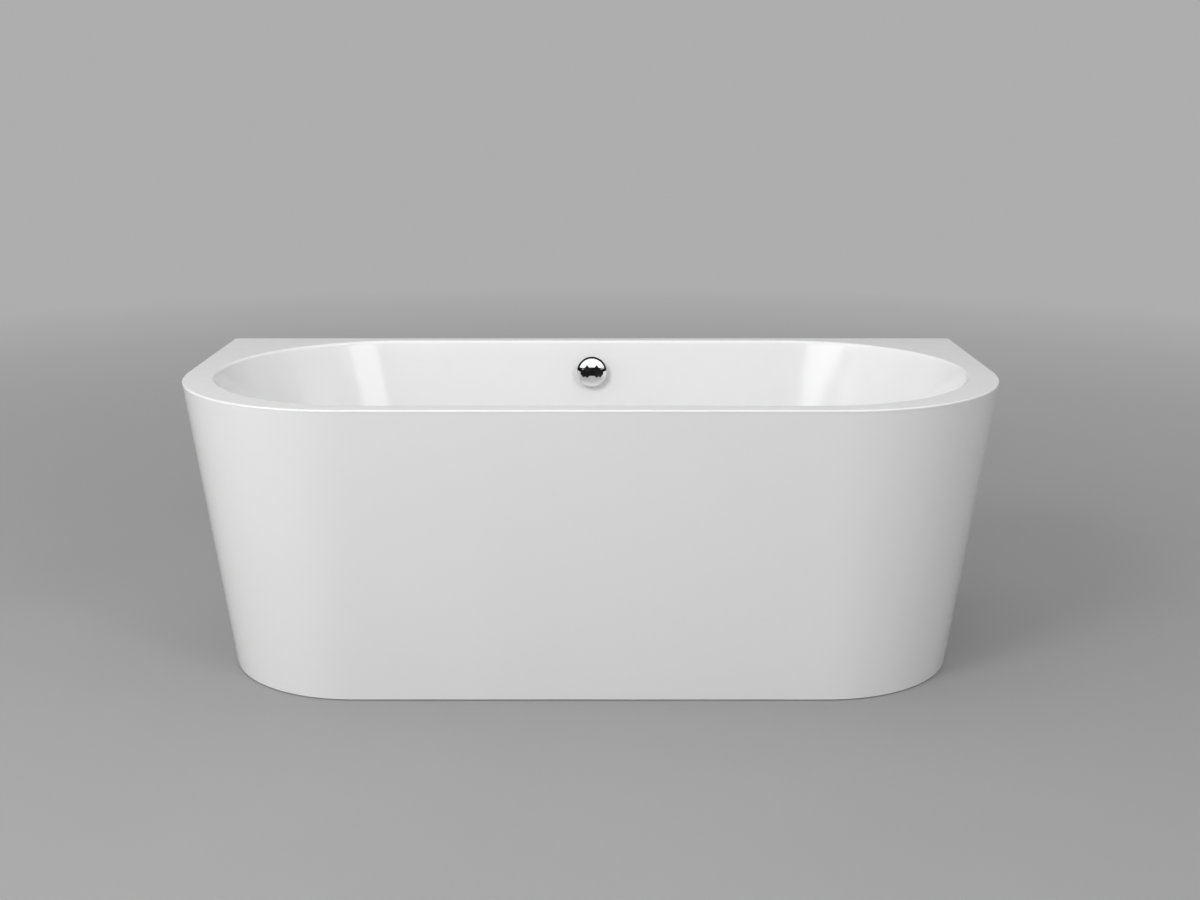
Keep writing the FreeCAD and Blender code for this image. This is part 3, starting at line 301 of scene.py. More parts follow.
class Recipe(Nodes):
    """A node material under construction, on Object coordinates."""

    def __init__(self, name, base, roughness, metallic=0.0):
        self.material = bpy.data.materials.new(name)
        self.material.use_nodes = True
        super().__init__(self.material.node_tree)
        self.base = base
        self.shader = self.tree.nodes["Principled BSDF"]
        self.surface("Base Color", rgba(base))
        self.surface("Roughness", roughness)
        self.surface("Metallic", metallic)
        self.coords = self.add("ShaderNodeTexCoord").outputs["Object"]

    def surface(self, socket, value):
        """Set or link one of the shader's own sockets."""
        self.put(self.shader, socket, value)

    def tint(self, factor, low, high):
        """Vary the base colour between two shades of it."""
        self.surface("Base Color", self.mix(factor, shade(self.base, low), shade(self.base, high)))

    def polish(self, source, smooth, rough):
        """Vary the roughness with a noise."""
        self.surface("Roughness", self.spread(source, smooth, rough))

    def stretched(self, scale):
        """Object coordinates scaled on each axis."""
        mapping = self.add("ShaderNodeMapping")
        self.put(mapping, "Scale", scale)
        self.put(mapping, "Vector", self.coords)
        return mapping.outputs["Vector"]

    def noise(self, scale, detail, roughness=0.5, coords=None, distortion=0.0):
        node = self.add("ShaderNodeTexNoise")
        self.put(node, "Scale", scale)
        self.put(node, "Detail", detail)
        self.put(node, "Roughness", roughness)
        self.put(node, "Distortion", distortion)
        self.put(node, "Vector", coords or self.coords)
        return node.outputs["Fac"]

    def cells(self, scale, coords=None, output="Distance"):
        node = self.add("ShaderNodeTexVoronoi")
        self.put(node, "Scale", scale)
        self.put(node, "Vector", coords or self.coords)
        return node.outputs[output]

    def spread(self, source, out_low, out_high, low=0.3, high=0.7):
        """Map a value, by default the usual range of a noise, to another range."""
        node = self.add("ShaderNodeMapRange")
        self.put(node, "Value", source)
        self.put(node, "From Min", low)
        self.put(node, "From Max", high)
        self.put(node, "To Min", out_low)
        self.put(node, "To Max", out_high)
        return node.outputs["Result"]

    def bump(self, height, strength, distance):
        """Add a bump on top of the bumps before it."""
        node = self.add("ShaderNodeBump")
        self.put(node, "Strength", strength)
        self.put(node, "Distance", distance)
        self.put(node, "Height", height)
        for link in self.shader.inputs["Normal"].links:
            self.put(node, "Normal", link.from_socket)
        self.surface("Normal", node.outputs["Normal"])


def acrylic(name, base):
    """Smooth white sheet with a clear gloss and the faintest waves."""
    made = Recipe(name, base, 0.12)
    made.surface("IOR", 1.49)
    made.surface("Coat Weight", 0.35)
    made.surface("Coat Roughness", 0.07)
    made.tint(made.noise(3.0, 4.0), 0.975, 1.015)
    made.polish(made.noise(24.0, 5.0), 0.09, 0.17)
    made.bump(made.noise(5.0, 1.0), strength=0.02, distance=0.0025)
    made.bump(made.noise(420.0, 2.0), strength=0.012, distance=0.0004)
    return made.material


def laminate(name, base):
    """Chopped glass strands in resin."""
    made = Recipe(name, base, 0.5)
    strands = made.cells(190.0, made.stretched((1.0, 0.22, 0.6)))
    across = made.cells(170.0, made.stretched((0.2, 1.0, 0.7)))
    blotches = made.noise(14.0, 5.0, 0.6)
    body = made.mix(blotches, shade(base, 0.86), shade(base, 1.12))
    resin = made.ramp(strands, (0.05, 0.0), (0.5, 1.0))
    made.surface("Base Color", made.mix(resin, body, shade(base, 1.28)))
    made.polish(blotches, 0.32, 0.62)
    made.bump(strands, strength=0.35, distance=0.0012)
    made.bump(across, strength=0.3, distance=0.001)
    made.bump(made.noise(30.0, 4.0), strength=0.4, distance=0.003)
    return made.material


def plywood(name, base):
    """Birch face with long grain, and plies along the edges."""
    made = Recipe(name, base, 0.55)
    grain = made.noise(26.0, 6.0, 0.6, made.stretched((0.5, 7.0, 7.0)), 0.7)
    fibres = made.noise(160.0, 3.0, 0.6, made.stretched((0.15, 6.0, 6.0)))
    face = made.mix(made.ramp(grain, (0.35, 0.0), (0.7, 1.0)), shade(base, 1.18), shade(base, 0.72))
    plies = made.ramp(made.bands(made.coords, "Z", 90.0, "SIN"), (0.35, 0.0), (0.65, 1.0))
    edge = made.mix(plies, shade(base, 1.1), shade(base, 0.5))
    split = made.add("ShaderNodeSeparateXYZ")
    made.put(split, "Vector", made.add("ShaderNodeNewGeometry").outputs["Normal"])
    flat = made.math("ABSOLUTE", split.outputs["Z"])
    made.surface("Base Color", made.mix(flat, edge, face))
    made.bump(fibres, strength=0.25, distance=0.0006)
    return made.material


def galvanised(name, base):
    """Zinc spangle on steel tube."""
    made = Recipe(name, base, 0.42, 0.9)
    spangle = made.cells(95.0, output="Color")
    grey = made.ramp(spangle, (0.1, shade(base, 0.8)), (0.9, shade(base, 1.25)))
    made.surface("Base Color", made.mix(made.noise(9.0, 4.0), grey, shade(base, 0.92)))
    made.surface("Roughness", made.spread(spangle, 0.3, 0.52, low=0.0, high=1.0))
    made.bump(made.noise(260.0, 2.0), strength=0.06, distance=0.0003)
    return made.material


def zinc(name, base):
    """A thin bright film on fasteners."""
    made = Recipe(name, base, 0.3, 1.0)
    made.tint(made.noise(60.0, 3.0), 0.85, 1.1)
    made.polish(made.noise(300.0, 2.0), 0.22, 0.4)
    made.bump(made.noise(900.0, 2.0), strength=0.05, distance=0.0001)
    return made.material


def chrome(name, base):
    """A mirror with a breath of haze."""
    made = Recipe(name, base, 0.03, 1.0)
    haze = made.noise(120.0, 3.0)
    made.tint(haze, 0.98, 1.0)
    made.polish(haze, 0.02, 0.055)
    made.bump(made.noise(30.0, 1.0), strength=0.01, distance=0.0003)
    return made.material


def brass(name, base):
    """Turned brass with fine tool marks."""
    made = Recipe(name, base, 0.28, 1.0)
    tarnish = made.noise(45.0, 4.0)
    made.tint(tarnish, 0.75, 1.12)
    made.polish(tarnish, 0.2, 0.42)
    marks = made.noise(500.0, 1.0, coords=made.stretched((1.0, 1.0, 8.0)))
    made.bump(marks, strength=0.1, distance=0.0002)
    return made.material


def moulded(name, base, roughness, grain, depth):
    """Moulded plastic or rubber with an even grain and slight clouding."""
    made = Recipe(name, base, roughness)
    made.tint(made.noise(18.0, 3.0), 0.9, 1.1)
    made.polish(made.noise(70.0, 3.0), roughness - 0.06, roughness + 0.08)
    made.bump(made.noise(grain, 3.0), strength=0.2, distance=depth)
    return made.material


# Slots whose finish has a recipe of its own, with their material's name and colour
FINISHES = {
    "acrylic_white": (acrylic, "white_acrylic", "acrylic"),
    "glass_laminate": (laminate, "glass_laminate", "laminate"),
    "plywood": (plywood, "birch_plywood", "plywood"),
    "galvanised_steel": (galvanised, "galvanised_steel", "steel"),
    "zinc_plate": (zinc, "zinc_plate", "zinc"),
    "chrome": (chrome, "polished_chrome", "chrome"),
    "brass": (brass, "turned_brass", "brass"),
}
# Moulded slots with their colour, roughness, fineness of the grain and its depth
MOULDED = {
    "black_rubber": ("rubber", 0.62, 700.0, 0.0003),
    "black_plastic": ("black_plastic", 0.45, 900.0, 0.0003),
    "white_plastic": ("white_plastic", 0.34, 500.0, 0.0002),
    "grey_plastic": ("grey_plastic", 0.4, 800.0, 0.0003),
    "grey_hose": ("grey_hose", 0.42, 600.0, 0.0002),
}
MATERIALS = {}
SLOT_OF = {item["node"]: item["material_slot"] for item in frame["record"]["subparts"]}


def make_materials():
    """Every finish by its slot in the record."""
    for slot, (recipe, name, setting) in FINISHES.items():
        MATERIALS[slot] = recipe(name, tuple(getattr(finish_colours(), setting)))
    for slot, (setting, roughness, grain, depth) in MOULDED.items():
        MATERIALS[slot] = moulded(slot, tuple(getattr(finish_colours(), setting)), roughness, grain, depth)


# Mesh tools

TIGHT = 1e-6  # metres: points of a drawn outline that meet are this close
SPIN_TIGHT = 1e-7  # metres: points of a turned shape that meet on its axis are this close
CAD_TIGHT = 2e-6  # metres: points of a CAD node's loose triangles that meet are this close
DRILL = 0.1  # metres: length of the cutter for a hole
ROUND_STEPS = 64  # faces round a hole
FINE_STEPS = 96  # faces round the knob and the plug


def pierced(bm, radius, matrix):
    """Drill a round hole through a solid along a place's own Z."""
    drill = bmesh.new()
    bmesh.ops.create_cone(
        drill, cap_ends=True, segments=ROUND_STEPS, radius1=radius, radius2=radius, depth=DRILL,
        matrix=matrix,
    )
    solids = []
    for name, source in (("solid", bm), ("drill", drill)):
        mesh = bpy.data.meshes.new(name)
        source.to_mesh(mesh)
        solids.append(bpy.data.objects.new(name, mesh))
        bpy.context.scene.collection.objects.link(solids[-1])
    drill.free()
    hole = solids[0].modifiers.new("hole", "BOOLEAN")
    hole.operation = "DIFFERENCE"
    hole.solver = "EXACT"
    hole.object = solids[1]
    bpy.context.view_layer.update()
    cut = solids[0].evaluated_get(bpy.context.evaluated_depsgraph_get())
    result = bmesh.new()
    result.from_mesh(cut.data)
    for item in solids:
        bpy.data.objects.remove(item)
    bm.free()
    return result


def placed(bm, name, material):
    """Turn a bmesh into an object of the scene with one material."""
    mesh = bpy.data.meshes.new(name)
    bm.to_mesh(mesh)
    bm.free()
    mesh.materials.append(material)
    piece = bpy.data.objects.new(name, mesh)
    bpy.context.scene.collection.objects.link(piece)
    return piece


def finished(bm, name, node, sharp=35.0):
    """Turn a bmesh into a piece that stands for a CAD node, with its finish and its body."""
    bmesh.ops.remove_doubles(bm, verts=bm.verts, dist=TIGHT)
    bmesh.ops.recalc_face_normals(bm, faces=bm.faces)
    for face in bm.faces:
        face.smooth = True
    for edge in bm.edges:
        edge.smooth = edge.calc_face_angle(0) < math.radians(sharp)
    piece = placed(bm, name, MATERIALS[SLOT_OF[node]])
    piece.modifiers.new("normals", "WEIGHTED_NORMAL").keep_sharp = True
    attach(piece, body_of(node))
    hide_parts(node)
    return piece


class Pen:
    """Draws a flat outline of lines and arcs in a bmesh, one stretch after the other."""

    def __init__(self, bm, start):
        self.bm = bm
        self.last = bm.verts.new(start)
        self.first = self.last

    def line(self, end):
        following = self.bm.verts.new(end)
        self.bm.edges.new((self.last, following))
        self.last = following
        return self

    def arc(self, centre, angle, steps):
        made = bmesh.ops.spin(self.bm, geom=[self.last], cent=centre, axis=Z_AXIS, angle=angle, steps=steps)
        self.last = made["geom_last"][0]
        return self

    def close(self):
        """Join the end to the start and give the outline's edges."""
        if (self.last.co - self.first.co).length > TIGHT:
            self.bm.edges.new((self.last, self.first))
        else:
            bmesh.ops.remove_doubles(self.bm, verts=[self.last, self.first], dist=TIGHT)
        start = self.first if self.first.is_valid else self.last
        return walk(start)


def walk(start):
    """The loose edges of the outline that a vertex is on, in order."""
    edges = []
    vert = start
    while not edges or vert is not start:
        edge = next(item for item in vert.link_edges if not item.link_faces and item not in edges[-1:])
        edges.append(edge)
        vert = edge.other_vert(vert)
    return edges


def raised(bm, ring, reshape):
    """Extrude a ring and move each new point with reshape; gives the new ring."""
    made = bmesh.ops.extrude_edge_only(bm, edges=ring)["geom"]
    for vert in made:
        if isinstance(vert, bmesh.types.BMVert):
            vert.co = reshape(vert.co)
    return [edge for edge in made if isinstance(edge, bmesh.types.BMEdge)]


def fill_between(bm, outer, inner=()):
    """Fill the flat space inside one ring, or between two."""
    bmesh.ops.triangle_fill(bm, use_beauty=True, edges=[*outer, *inner])


def turned(bm, profile, steps, matrix=None, closed=False):
    """Turn a profile of radius and height round Z, then put it in place."""
    verts = [bm.verts.new((radius, 0, height)) for radius, height in profile]
    pairs = list(zip(verts, verts[1:]))
    if closed:
        pairs.append((verts[-1], verts[0]))
    edges = [bm.edges.new(pair) for pair in pairs]
    others = set(bm.verts).difference(verts)
    bmesh.ops.spin(
        bm, geom=verts + edges, cent=(0, 0, 0), axis=Z_AXIS, angle=4 * QUARTER, steps=steps, use_merge=True
    )
    made = [vert for vert in bm.verts if vert not in others]
    bmesh.ops.remove_doubles(bm, verts=made, dist=SPIN_TIGHT)
    made = [vert for vert in bm.verts if vert not in others]
    if matrix is not None:
        bmesh.ops.transform(bm, matrix=matrix, verts=made)
    return made


def arc_profile(centre, radius, start, end, steps):
    """Points of an arc in a profile, in degrees from the outward direction."""
    points = []
    for step in range(steps + 1):
        angle = math.radians(start + (end - start) * step / steps)
        points.append((centre[0] + radius * math.cos(angle), centre[1] + radius * math.sin(angle)))
    return points


def dome(radius, foot, crown, cut, steps):
    """Profile of a dome from its foot to its top; cut is how many degrees it leaves out at the foot."""
    sphere = (radius ** 2 + crown ** 2) / (2 * crown)
    half_angle = math.degrees(math.asin(radius / sphere))
    return arc_profile((0, foot + crown - sphere), sphere, 90 - half_angle + cut, 90, steps)


def middle(low, high):
    """The middle of a box."""
    return (low + high) / 2


# The tub's own shapes

RIM_STEPS = 5  # steps in the rounding of the rim's outer edge
SKIRT_BANDS = 6  # bands of the skirt from floor to rim
BACKING_BANDS = 30  # bands of the skirt's backing
FLOOR_STEPS = 14  # rings in the rounding round the basin's floor
WALL_STEPS = 6  # rings in the basin's wall
STRAIGHT_STEPS = 40  # rings in the backing's wall
EDGE_STEPS = 8  # rings in the rounding under the rim
SKIN_TURN = math.radians(78)  # how far the basin's roundings turn between the level and the leaning wall


def overflow_frame():
    """The overflow's own frame: +Z out into the basin, +Y up along the wall."""
    turn = joint("knob_turn")
    out = Vector(turn["axis"]).normalized()
    matrix = Matrix((X_AXIS, out.cross(X_AXIS), out)).transposed().to_4x4()
    matrix.translation = Vector(turn["pos_m"])
    return matrix


def half_length():
    return TUB_HIGH.x


def wall_y():
    return TUB_HIGH.y


def basin_y():
    return (sizes().rim_front - sizes().rim_back) / 2


def corner_centre():
    """Centre of the right front corner's round."""
    return Vector((half_length() - sizes().corner_radius, sizes().corner_radius - wall_y()))


def d_front(bm, inset, height, back):
    """The open D from its left end at the back to its right end, drawn in by inset."""
    side = half_length() - inset
    corner = corner_centre()
    steps = sizes().arc_steps
    pen = Pen(bm, (-side, back, height))
    pen.line((-side, corner.y, height)).arc((-corner.x, corner.y, height), QUARTER, steps)
    pen.line((corner.x, inset - wall_y(), height)).arc((*corner, height), QUARTER, steps)
    return pen.line((side, back, height))


def oval_ring(bm, long_half, wide_half, height):
    """A long oval with half-round ends."""
    arc_x = long_half - wide_half
    low = basin_y() - wide_half
    high = basin_y() + wide_half
    steps = 2 * sizes().arc_steps
    pen = Pen(bm, (-arc_x, low, height))
    pen.line((arc_x, low, height)).arc((arc_x, basin_y(), height), 2 * QUARTER, steps)
    pen.line((-arc_x, high, height)).arc((-arc_x, basin_y(), height), 2 * QUARTER, steps)
    return pen.close()


def oval_change(long_was, wide_was, long_half, wide_half, height):
    """How the points of one oval go to another."""

    def moved(place):
        end = math.copysign(long_was - wide_was, place.x)
        spoke = Vector((place.x - end, place.y - basin_y())) * (wide_half / wide_was)
        return math.copysign(long_half - wide_half, place.x) + spoke.x, basin_y() + spoke.y, height

    return moved


def drawn_in(step, height):
    """How the points of a D outline go when its front and ends draw in by a step."""
    corner = corner_centre()

    def moved(place):
        if place.y < corner.y + TIGHT:
            nearest = Vector((math.copysign(corner.x, place.x), corner.y))
            spoke = place.xy - nearest
            flat = nearest + spoke * (1 - step / spoke.length)
            return flat.x, flat.y, height
        if abs(place.x) > sizes().window_half + TIGHT:
            return place.x - math.copysign(step, place.x), place.y, height
        return place.x, place.y, height

    return moved


def basin_floor():
    """Height of the basin's floor."""
    return TUB_LOW.z + sizes().sheet


def skin_half(height, top_half, floor_half, deep, offset, straight):
    """Half size of the basin's skin at a height; a straight one has no rounding at the top."""
    lean = math.atan((top_half - floor_half) / deep)
    low_radius = sizes().basin_round
    low_centre = basin_floor() + low_radius
    floor_edge = floor_half - low_radius * math.tan((QUARTER - lean) / 2)
    low_radius += offset
    high_radius = sizes().basin_edge
    high_centre = TUB_HIGH.z - high_radius
    rim_edge = top_half + high_radius * (1 - math.sin(lean)) / math.cos(lean)
    high_radius -= offset
    if height < low_centre - low_radius * math.sin(lean):
        return floor_edge + math.sqrt(max(0.0, low_radius ** 2 - (low_centre - height) ** 2))
    if height > high_centre + high_radius * math.sin(lean) and not straight:
        return rim_edge - math.sqrt(max(0.0, high_radius ** 2 - (height - high_centre) ** 2))
    return top_half - (TUB_HIGH.z - height) * math.tan(lean) + offset / math.cos(lean)


def rounding_shares(steps):
    """Heights of a rounding's rings from its centre, as shares of its radius, ending at the wall."""
    return [math.cos(SKIN_TURN * step / steps) for step in range(steps + 1)]


def skin_heights(top, offset, straight):
    """Heights of the basin's rings, close together in the roundings."""
    low_radius = sizes().basin_round + offset
    low_centre = basin_floor() + sizes().basin_round
    high_radius = sizes().basin_edge - offset
    high_centre = top - sizes().basin_edge
    lows = [low_centre - low_radius * share for share in rounding_shares(FLOOR_STEPS)]
    highs = [high_centre + high_radius * share for share in rounding_shares(EDGE_STEPS)]
    steps = STRAIGHT_STEPS if straight else WALL_STEPS
    ends = [top] if straight else highs[::-1]
    wall = [lows[-1] + (ends[0] - lows[-1]) * step / steps for step in range(1, steps)]
    return [*lows, *wall, *ends]


def basin_skin(bm, offset, top=None):
    """The basin's skin from its floor up to the rim, or straight up to a top; gives its two end rings."""
    deep = TUB_HIGH.z - basin_floor()
    top_length = half_length() - sizes().rim_end
    top_width = wall_y() - (sizes().rim_front + sizes().rim_back) / 2
    straight = top is not None
    ring = first = None
    for height in skin_heights(top or TUB_HIGH.z, offset, straight):
        long_half = skin_half(height, top_length, sizes().floor_half_length, deep, offset, straight)
        wide_half = skin_half(height, top_width, sizes().floor_half_width, deep, offset, straight)
        if ring is None:
            ring = first = oval_ring(bm, long_half, wide_half, height)
        else:
            ring = raised(bm, ring, oval_change(long_was, wide_was, long_half, wide_half, height))
        long_was, wide_was = long_half, wide_half
    return first, ring


def basin_wall(bm, near, far, floor, thick, top=None):
    """Two skins of the basin with a floor that has the waste's hole; gives their upper rings."""
    inside = basin_skin(bm, near, top)
    outside = basin_skin(bm, far, top)
    drains = []
    for height in (floor, floor - thick):
        made = bmesh.ops.create_circle(
            bm, segments=ROUND_STEPS, radius=sizes().drain_hole,
            matrix=Matrix.Translation((0, basin_y(), height)),
        )
        drains.append(list({edge for vert in made["verts"] for edge in vert.link_edges}))
    bmesh.ops.bridge_loops(bm, edges=drains[0] + drains[1])
    fill_between(bm, inside[0], drains[0])
    fill_between(bm, outside[0], drains[1])
    return inside[1], outside[1]


class BATHTUB_OT_tub_shell(bpy.types.Operator):
    """Rim and basin in one acrylic sheet"""
    bl_idname = "bathtub.tub_shell"
    bl_label = "Tub"

    def execute(self, context):
        bm = bmesh.new()
        sheet = sizes().sheet
        rounding = sizes().edge_round
        inside, outside = basin_wall(bm, 0.0, sheet, basin_floor(), sheet)
        edge = rim = d_front(bm, rounding, TUB_HIGH.z, wall_y()).close()
        inset = rounding
        for step in range(1, RIM_STEPS + 1):
            turn = QUARTER * step / RIM_STEPS
            following = rounding * (1 - math.sin(turn))
            height = TUB_HIGH.z - rounding * (1 - math.cos(turn))
            edge = raised(bm, edge, drawn_in(following - inset, height))
            inset = following
        edge = raised(bm, edge, drawn_in(0.0, TUB_HIGH.z - sheet))
        fill_between(bm, rim, inside)
        fill_between(bm, edge, outside)
        bmesh.ops.recalc_face_normals(bm, faces=bm.faces)
        finished(pierced(bm, sizes().overflow_hole, overflow_frame()), "tub", "tub_shell")
        return {"FINISHED"}


def skirt_lean(height):
    """How far the skirt has leaned in at a height."""
    return sizes().skirt_inset * (1 - height / TUB_HIGH.z)


def skirt_ring(bm, inset, height, thick, back, window):
    """Plan of the skirt or its backing: outer D, inner D and, with a window, the returns along the wall."""
    corner = corner_centre()
    steps = sizes().arc_steps
    inner = half_length() - inset - thick
    inner_back = back - thick if window else back
    pen = d_front(bm, inset, height, back)
    if window:
        pen.line((window, back, height)).line((window, inner_back, height))
    pen.line((inner, inner_back, height)).line((inner, corner.y, height))
    pen.arc((*corner, height), -QUARTER, steps).line((-corner.x, inset - wall_y() + thick, height))
    pen.arc((-corner.x, corner.y, height), -QUARTER, steps).line((-inner, inner_back, height))
    if window:
        pen.line((-window, inner_back, height)).line((-window, back, height))
    return pen.close()


def skirt_wall(bm, low, high, bands, inset, thick, back, window=None):
    """The skirt or its backing as a closed wall."""
    ring = first = skirt_ring(bm, inset + skirt_lean(high), high, thick, back, window)
    above = high
    for band in range(1, bands + 1):
        height = high + (low - high) * band / bands
        ring = raised(bm, ring, drawn_in(skirt_lean(height) - skirt_lean(above), height))
        above = height
    for end in (first, ring):
        fill_between(bm, end)


class BATHTUB_OT_skirt(bpy.types.Operator):
    """The skirt round the front and both ends"""
    bl_idname = "bathtub.skirt"
    bl_label = "Skirt"

    def execute(self, context):
        bm = bmesh.new()
        sheet, window = sizes().sheet, sizes().window_half
        skirt_wall(bm, SKIRT_LOW.z, SKIRT_HIGH.z, SKIRT_BANDS, 0.0, sheet, wall_y(), window)
        finished(bm, "skirt", "skirt_panel")
        return {"FINISHED"}


class BATHTUB_OT_backing(bpy.types.Operator):
    """Glass-fibre backing of basin and skirt"""
    bl_idname = "bathtub.backing"
    bl_label = "Glass-fibre backing"

    def execute(self, context):
        thick = sizes().backing
        near = sizes().sheet + sizes().bond
        low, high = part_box("tub_laminate")
        bm = bmesh.new()
        fill_between(bm, *basin_wall(bm, near, near + thick, low.z + thick, thick, high.z))
        bmesh.ops.recalc_face_normals(bm, faces=bm.faces)
        finished(pierced(bm, sizes().overflow_hole, overflow_frame()), "tub_backing", "tub_laminate")
        low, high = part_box("skirt_laminate")
        bm = bmesh.new()
        skirt_wall(bm, low.z, high.z, BACKING_BANDS, near, thick, high.y)
        finished(bm, "skirt_backing", "skirt_laminate")
        return {"FINISHED"}


# Knob and plug

class BATHTUB_OT_knob(bpy.types.Operator):
    """The chrome knob on its spindle"""
    bl_idname = "bathtub.knob"
    bl_label = "Overflow knob"

    def execute(self, context):
        size = sizes()
        radius, low, high = size.knob_radius, size.knob_gap, size.knob_gap + size.knob_edge
        lip, shoulder = size.knob_lip, size.knob_shoulder
        bore_end = low + size.knob_bore_depth
        inner = radius - size.knob_wall
        profile = [(0, bore_end), (size.knob_bore, bore_end), (size.knob_bore, low), (size.knob_hub, low)]
        profile += [(size.knob_hub, high), (inner, high), (inner, low + size.knob_wall - lip)]
        profile += arc_profile((radius - lip, low + lip), lip, start=-90, end=0, steps=6)
        centre = (radius - shoulder, high - size.knob_shoulder_drop)
        profile += arc_profile(centre, shoulder, start=0, end=60, steps=4)[1:]
        profile += dome(radius, high, size.knob_crown, cut=3, steps=24)
        bm = bmesh.new()
        turned(bm, profile, FINE_STEPS, overflow_frame())
        finished(bm, "knob", "overflow_knob", sharp=50)
        return {"FINISHED"}


class BATHTUB_OT_plug(bpy.types.Operator):
    """The domed chrome plug"""
    bl_idname = "bathtub.plug"
    bl_label = "Plug"

    def execute(self, context):
        low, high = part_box("drain_plug")
        radius = (high.x - low.x) / 2
        edge = sizes().plug_edge
        top = low.z + sizes().plug_rim
        profile = [(0, low.z)]
        profile += arc_profile((radius - edge, low.z + edge), edge, start=-90, end=0, steps=4)
        profile += arc_profile((radius - edge, top - edge), edge, start=0, end=80, steps=4)
        profile += dome(radius, top, high.z - top, cut=2, steps=16)
        bm = bmesh.new()
        turned(bm, profile, FINE_STEPS, Matrix.Translation((0, basin_y(), 0)))
        finished(bm, "plug_cap", "drain_plug", sharp=50)
        return {"FINISHED"}


# Hose and cable on their routes

# A rib of the hose, as shares of the pitch along it and of its height
RIB_SHARES = (
    (0.08, 0.3), (0.17, 0.0), (0.3, 0.0), (0.39, 0.3), (0.47, 0.8), (0.55, 1.0), (0.83, 1.0), (0.92, 0.8),
)
HOSE_FACES = 28  # faces round the hose
HOSE_STEPS = 40  # rings along its bore
CABLE_FACES = 16  # faces round the cable's sleeve
CABLE_STEPS = 60  # rings along the sleeve
SLEEVE_BORE_SHARE = 0.4  # bore of the sleeve as a share of its radius


class Route:
    """Down along the back wall, round one bend and level to the waste."""

    def __init__(self, start, level, bend, end_y):
        axis = joint("knob_turn")["axis"]
        lean = math.atan2(axis[2], -axis[1])
        self.start = start
        self.slope = Vector((0, -math.sin(lean), -math.cos(lean)))
        drop = (start.z - level) / math.cos(lean)
        corner = start + self.slope * drop
        self.bend = bend
        self.turn = QUARTER - lean
        reach = bend * math.tan(self.turn / 2)
        self.first = drop - reach
        self.bend_end = corner - Y_AXIS * reach
        self.centre = self.bend_end + Z_AXIS * bend
        self.arc = bend * self.turn
        self.length = self.first + self.arc + (self.bend_end.y - end_y)

    def frame(self, distance):
        """Matrix that carries +Z along the path at a distance from its start."""
        if distance <= self.first:
            point, direction = self.start + self.slope * distance, self.slope
        elif distance <= self.first + self.arc:
            left = self.turn - (distance - self.first) / self.bend
            point = self.centre + Vector((0, math.sin(left), -math.cos(left))) * self.bend
            direction = Vector((0, -math.cos(left), -math.sin(left)))
        else:
            point, direction = self.bend_end - Y_AXIS * (distance - self.first - self.arc), -Y_AXIS
        matrix = Matrix((X_AXIS, direction.cross(X_AXIS), direction)).transposed().to_4x4()
        matrix.translation = point
        return matrix

    def bent(self, profile, steps, name, node):
        """Turn a profile round Z, lay it along the path and make it a piece."""
        bm = bmesh.new()
        for vert in turned(bm, profile, steps, closed=True):
            vert.co = self.frame(vert.co.z) @ Vector((vert.co.x, vert.co.y, 0))
        finished(bm, name, node, sharp=60)


def hose_route():
    """From the overflow's box to the waste cup's nut."""
    start = overflow_frame() @ Vector((0, -sizes().hose_drop, -sizes().box_reach))
    return Route(start, sizes().hose_level, sizes().hose_bend, basin_y() + sizes().hose_end)


def cable_route():
    """From the drum beside the hose into the waste cup's wall."""
    side = sizes().cable_side
    start = overflow_frame() @ Vector((side, -sizes().cable_drop, -sizes().box_reach))
    end_y = basin_y() + math.sqrt(sizes().waste_radius ** 2 - side ** 2) - sizes().cable_sink
    return Route(start, sizes().cable_level, sizes().cable_bend, end_y)


class BATHTUB_OT_hose(bpy.types.Operator):
    """The ribbed overflow hose and the cable's sleeve"""
    bl_idname = "bathtub.hose"
    bl_label = "Hose and cable"

    def execute(self, context):
        route = hose_route()
        crest, root, bore = sizes().hose_radius, sizes().hose_root, sizes().hose_bore
        cuff = 2 * crest
        ribs = round((route.length - 2 * cuff) / sizes().hose_pitch)
        pitch = (route.length - 2 * cuff) / ribs
        profile = [(crest, 0), (crest, cuff)]
        for rib in range(ribs):
            for share, height in RIB_SHARES:
                profile.append((root + (crest - root) * height, cuff + (rib + share) * pitch))
        profile += [(crest, route.length - cuff), (crest, route.length)]
        profile += [(bore, route.length * (1 - step / HOSE_STEPS)) for step in range(HOSE_STEPS + 1)]
        route.bent(profile, HOSE_FACES, "overflow_hose_ribbed", "overflow_hose")

        route = cable_route()
        radius = sizes().cable_radius
        places = [route.length * step / CABLE_STEPS for step in range(CABLE_STEPS + 1)]
        profile = [(radius, place) for place in places]
        profile += [(radius * SLEEVE_BORE_SHARE, place) for place in reversed(places)]
        route.bent(profile, CABLE_FACES, "cable_sleeve", "bowden_cable")
        return {"FINISHED"}


# Nuts with a grip, screws and studs

GRIP_FACES = 6  # faces of a nut's grip from groove to groove
GROOVE_CORNERS = (0, 1)  # the corners between them that the groove lowers
GROOVE_SHARE = 0.6  # depth of a groove as a share of the nut's chamfer
TRAP_GROOVES = 24
OUTLET_GROOVES = 16
HOSE_GROOVES = 12
# The screw's head, as shares of its radius and of its height from the seat
PAN_SHARES = ((0.8, 1.0), (0.95, 0.75), (1.0, 0.4), (1.0, 0.0))
RECESS_SHARE = 0.55  # depth of the star recess as a share of the head's height
STAR_SHARE = 0.38  # radius of the star recess as a share of the head's
STAR_FLOOR_SHARE = 0.85  # radius of the recess at its floor as a share of its own
STAR_WAVE_SHARE = 0.14  # half depth of the star's notches as a share of its radius
STAR_POINTS = 6
SCREW_STEPS = 36
STUD_STEPS = 24


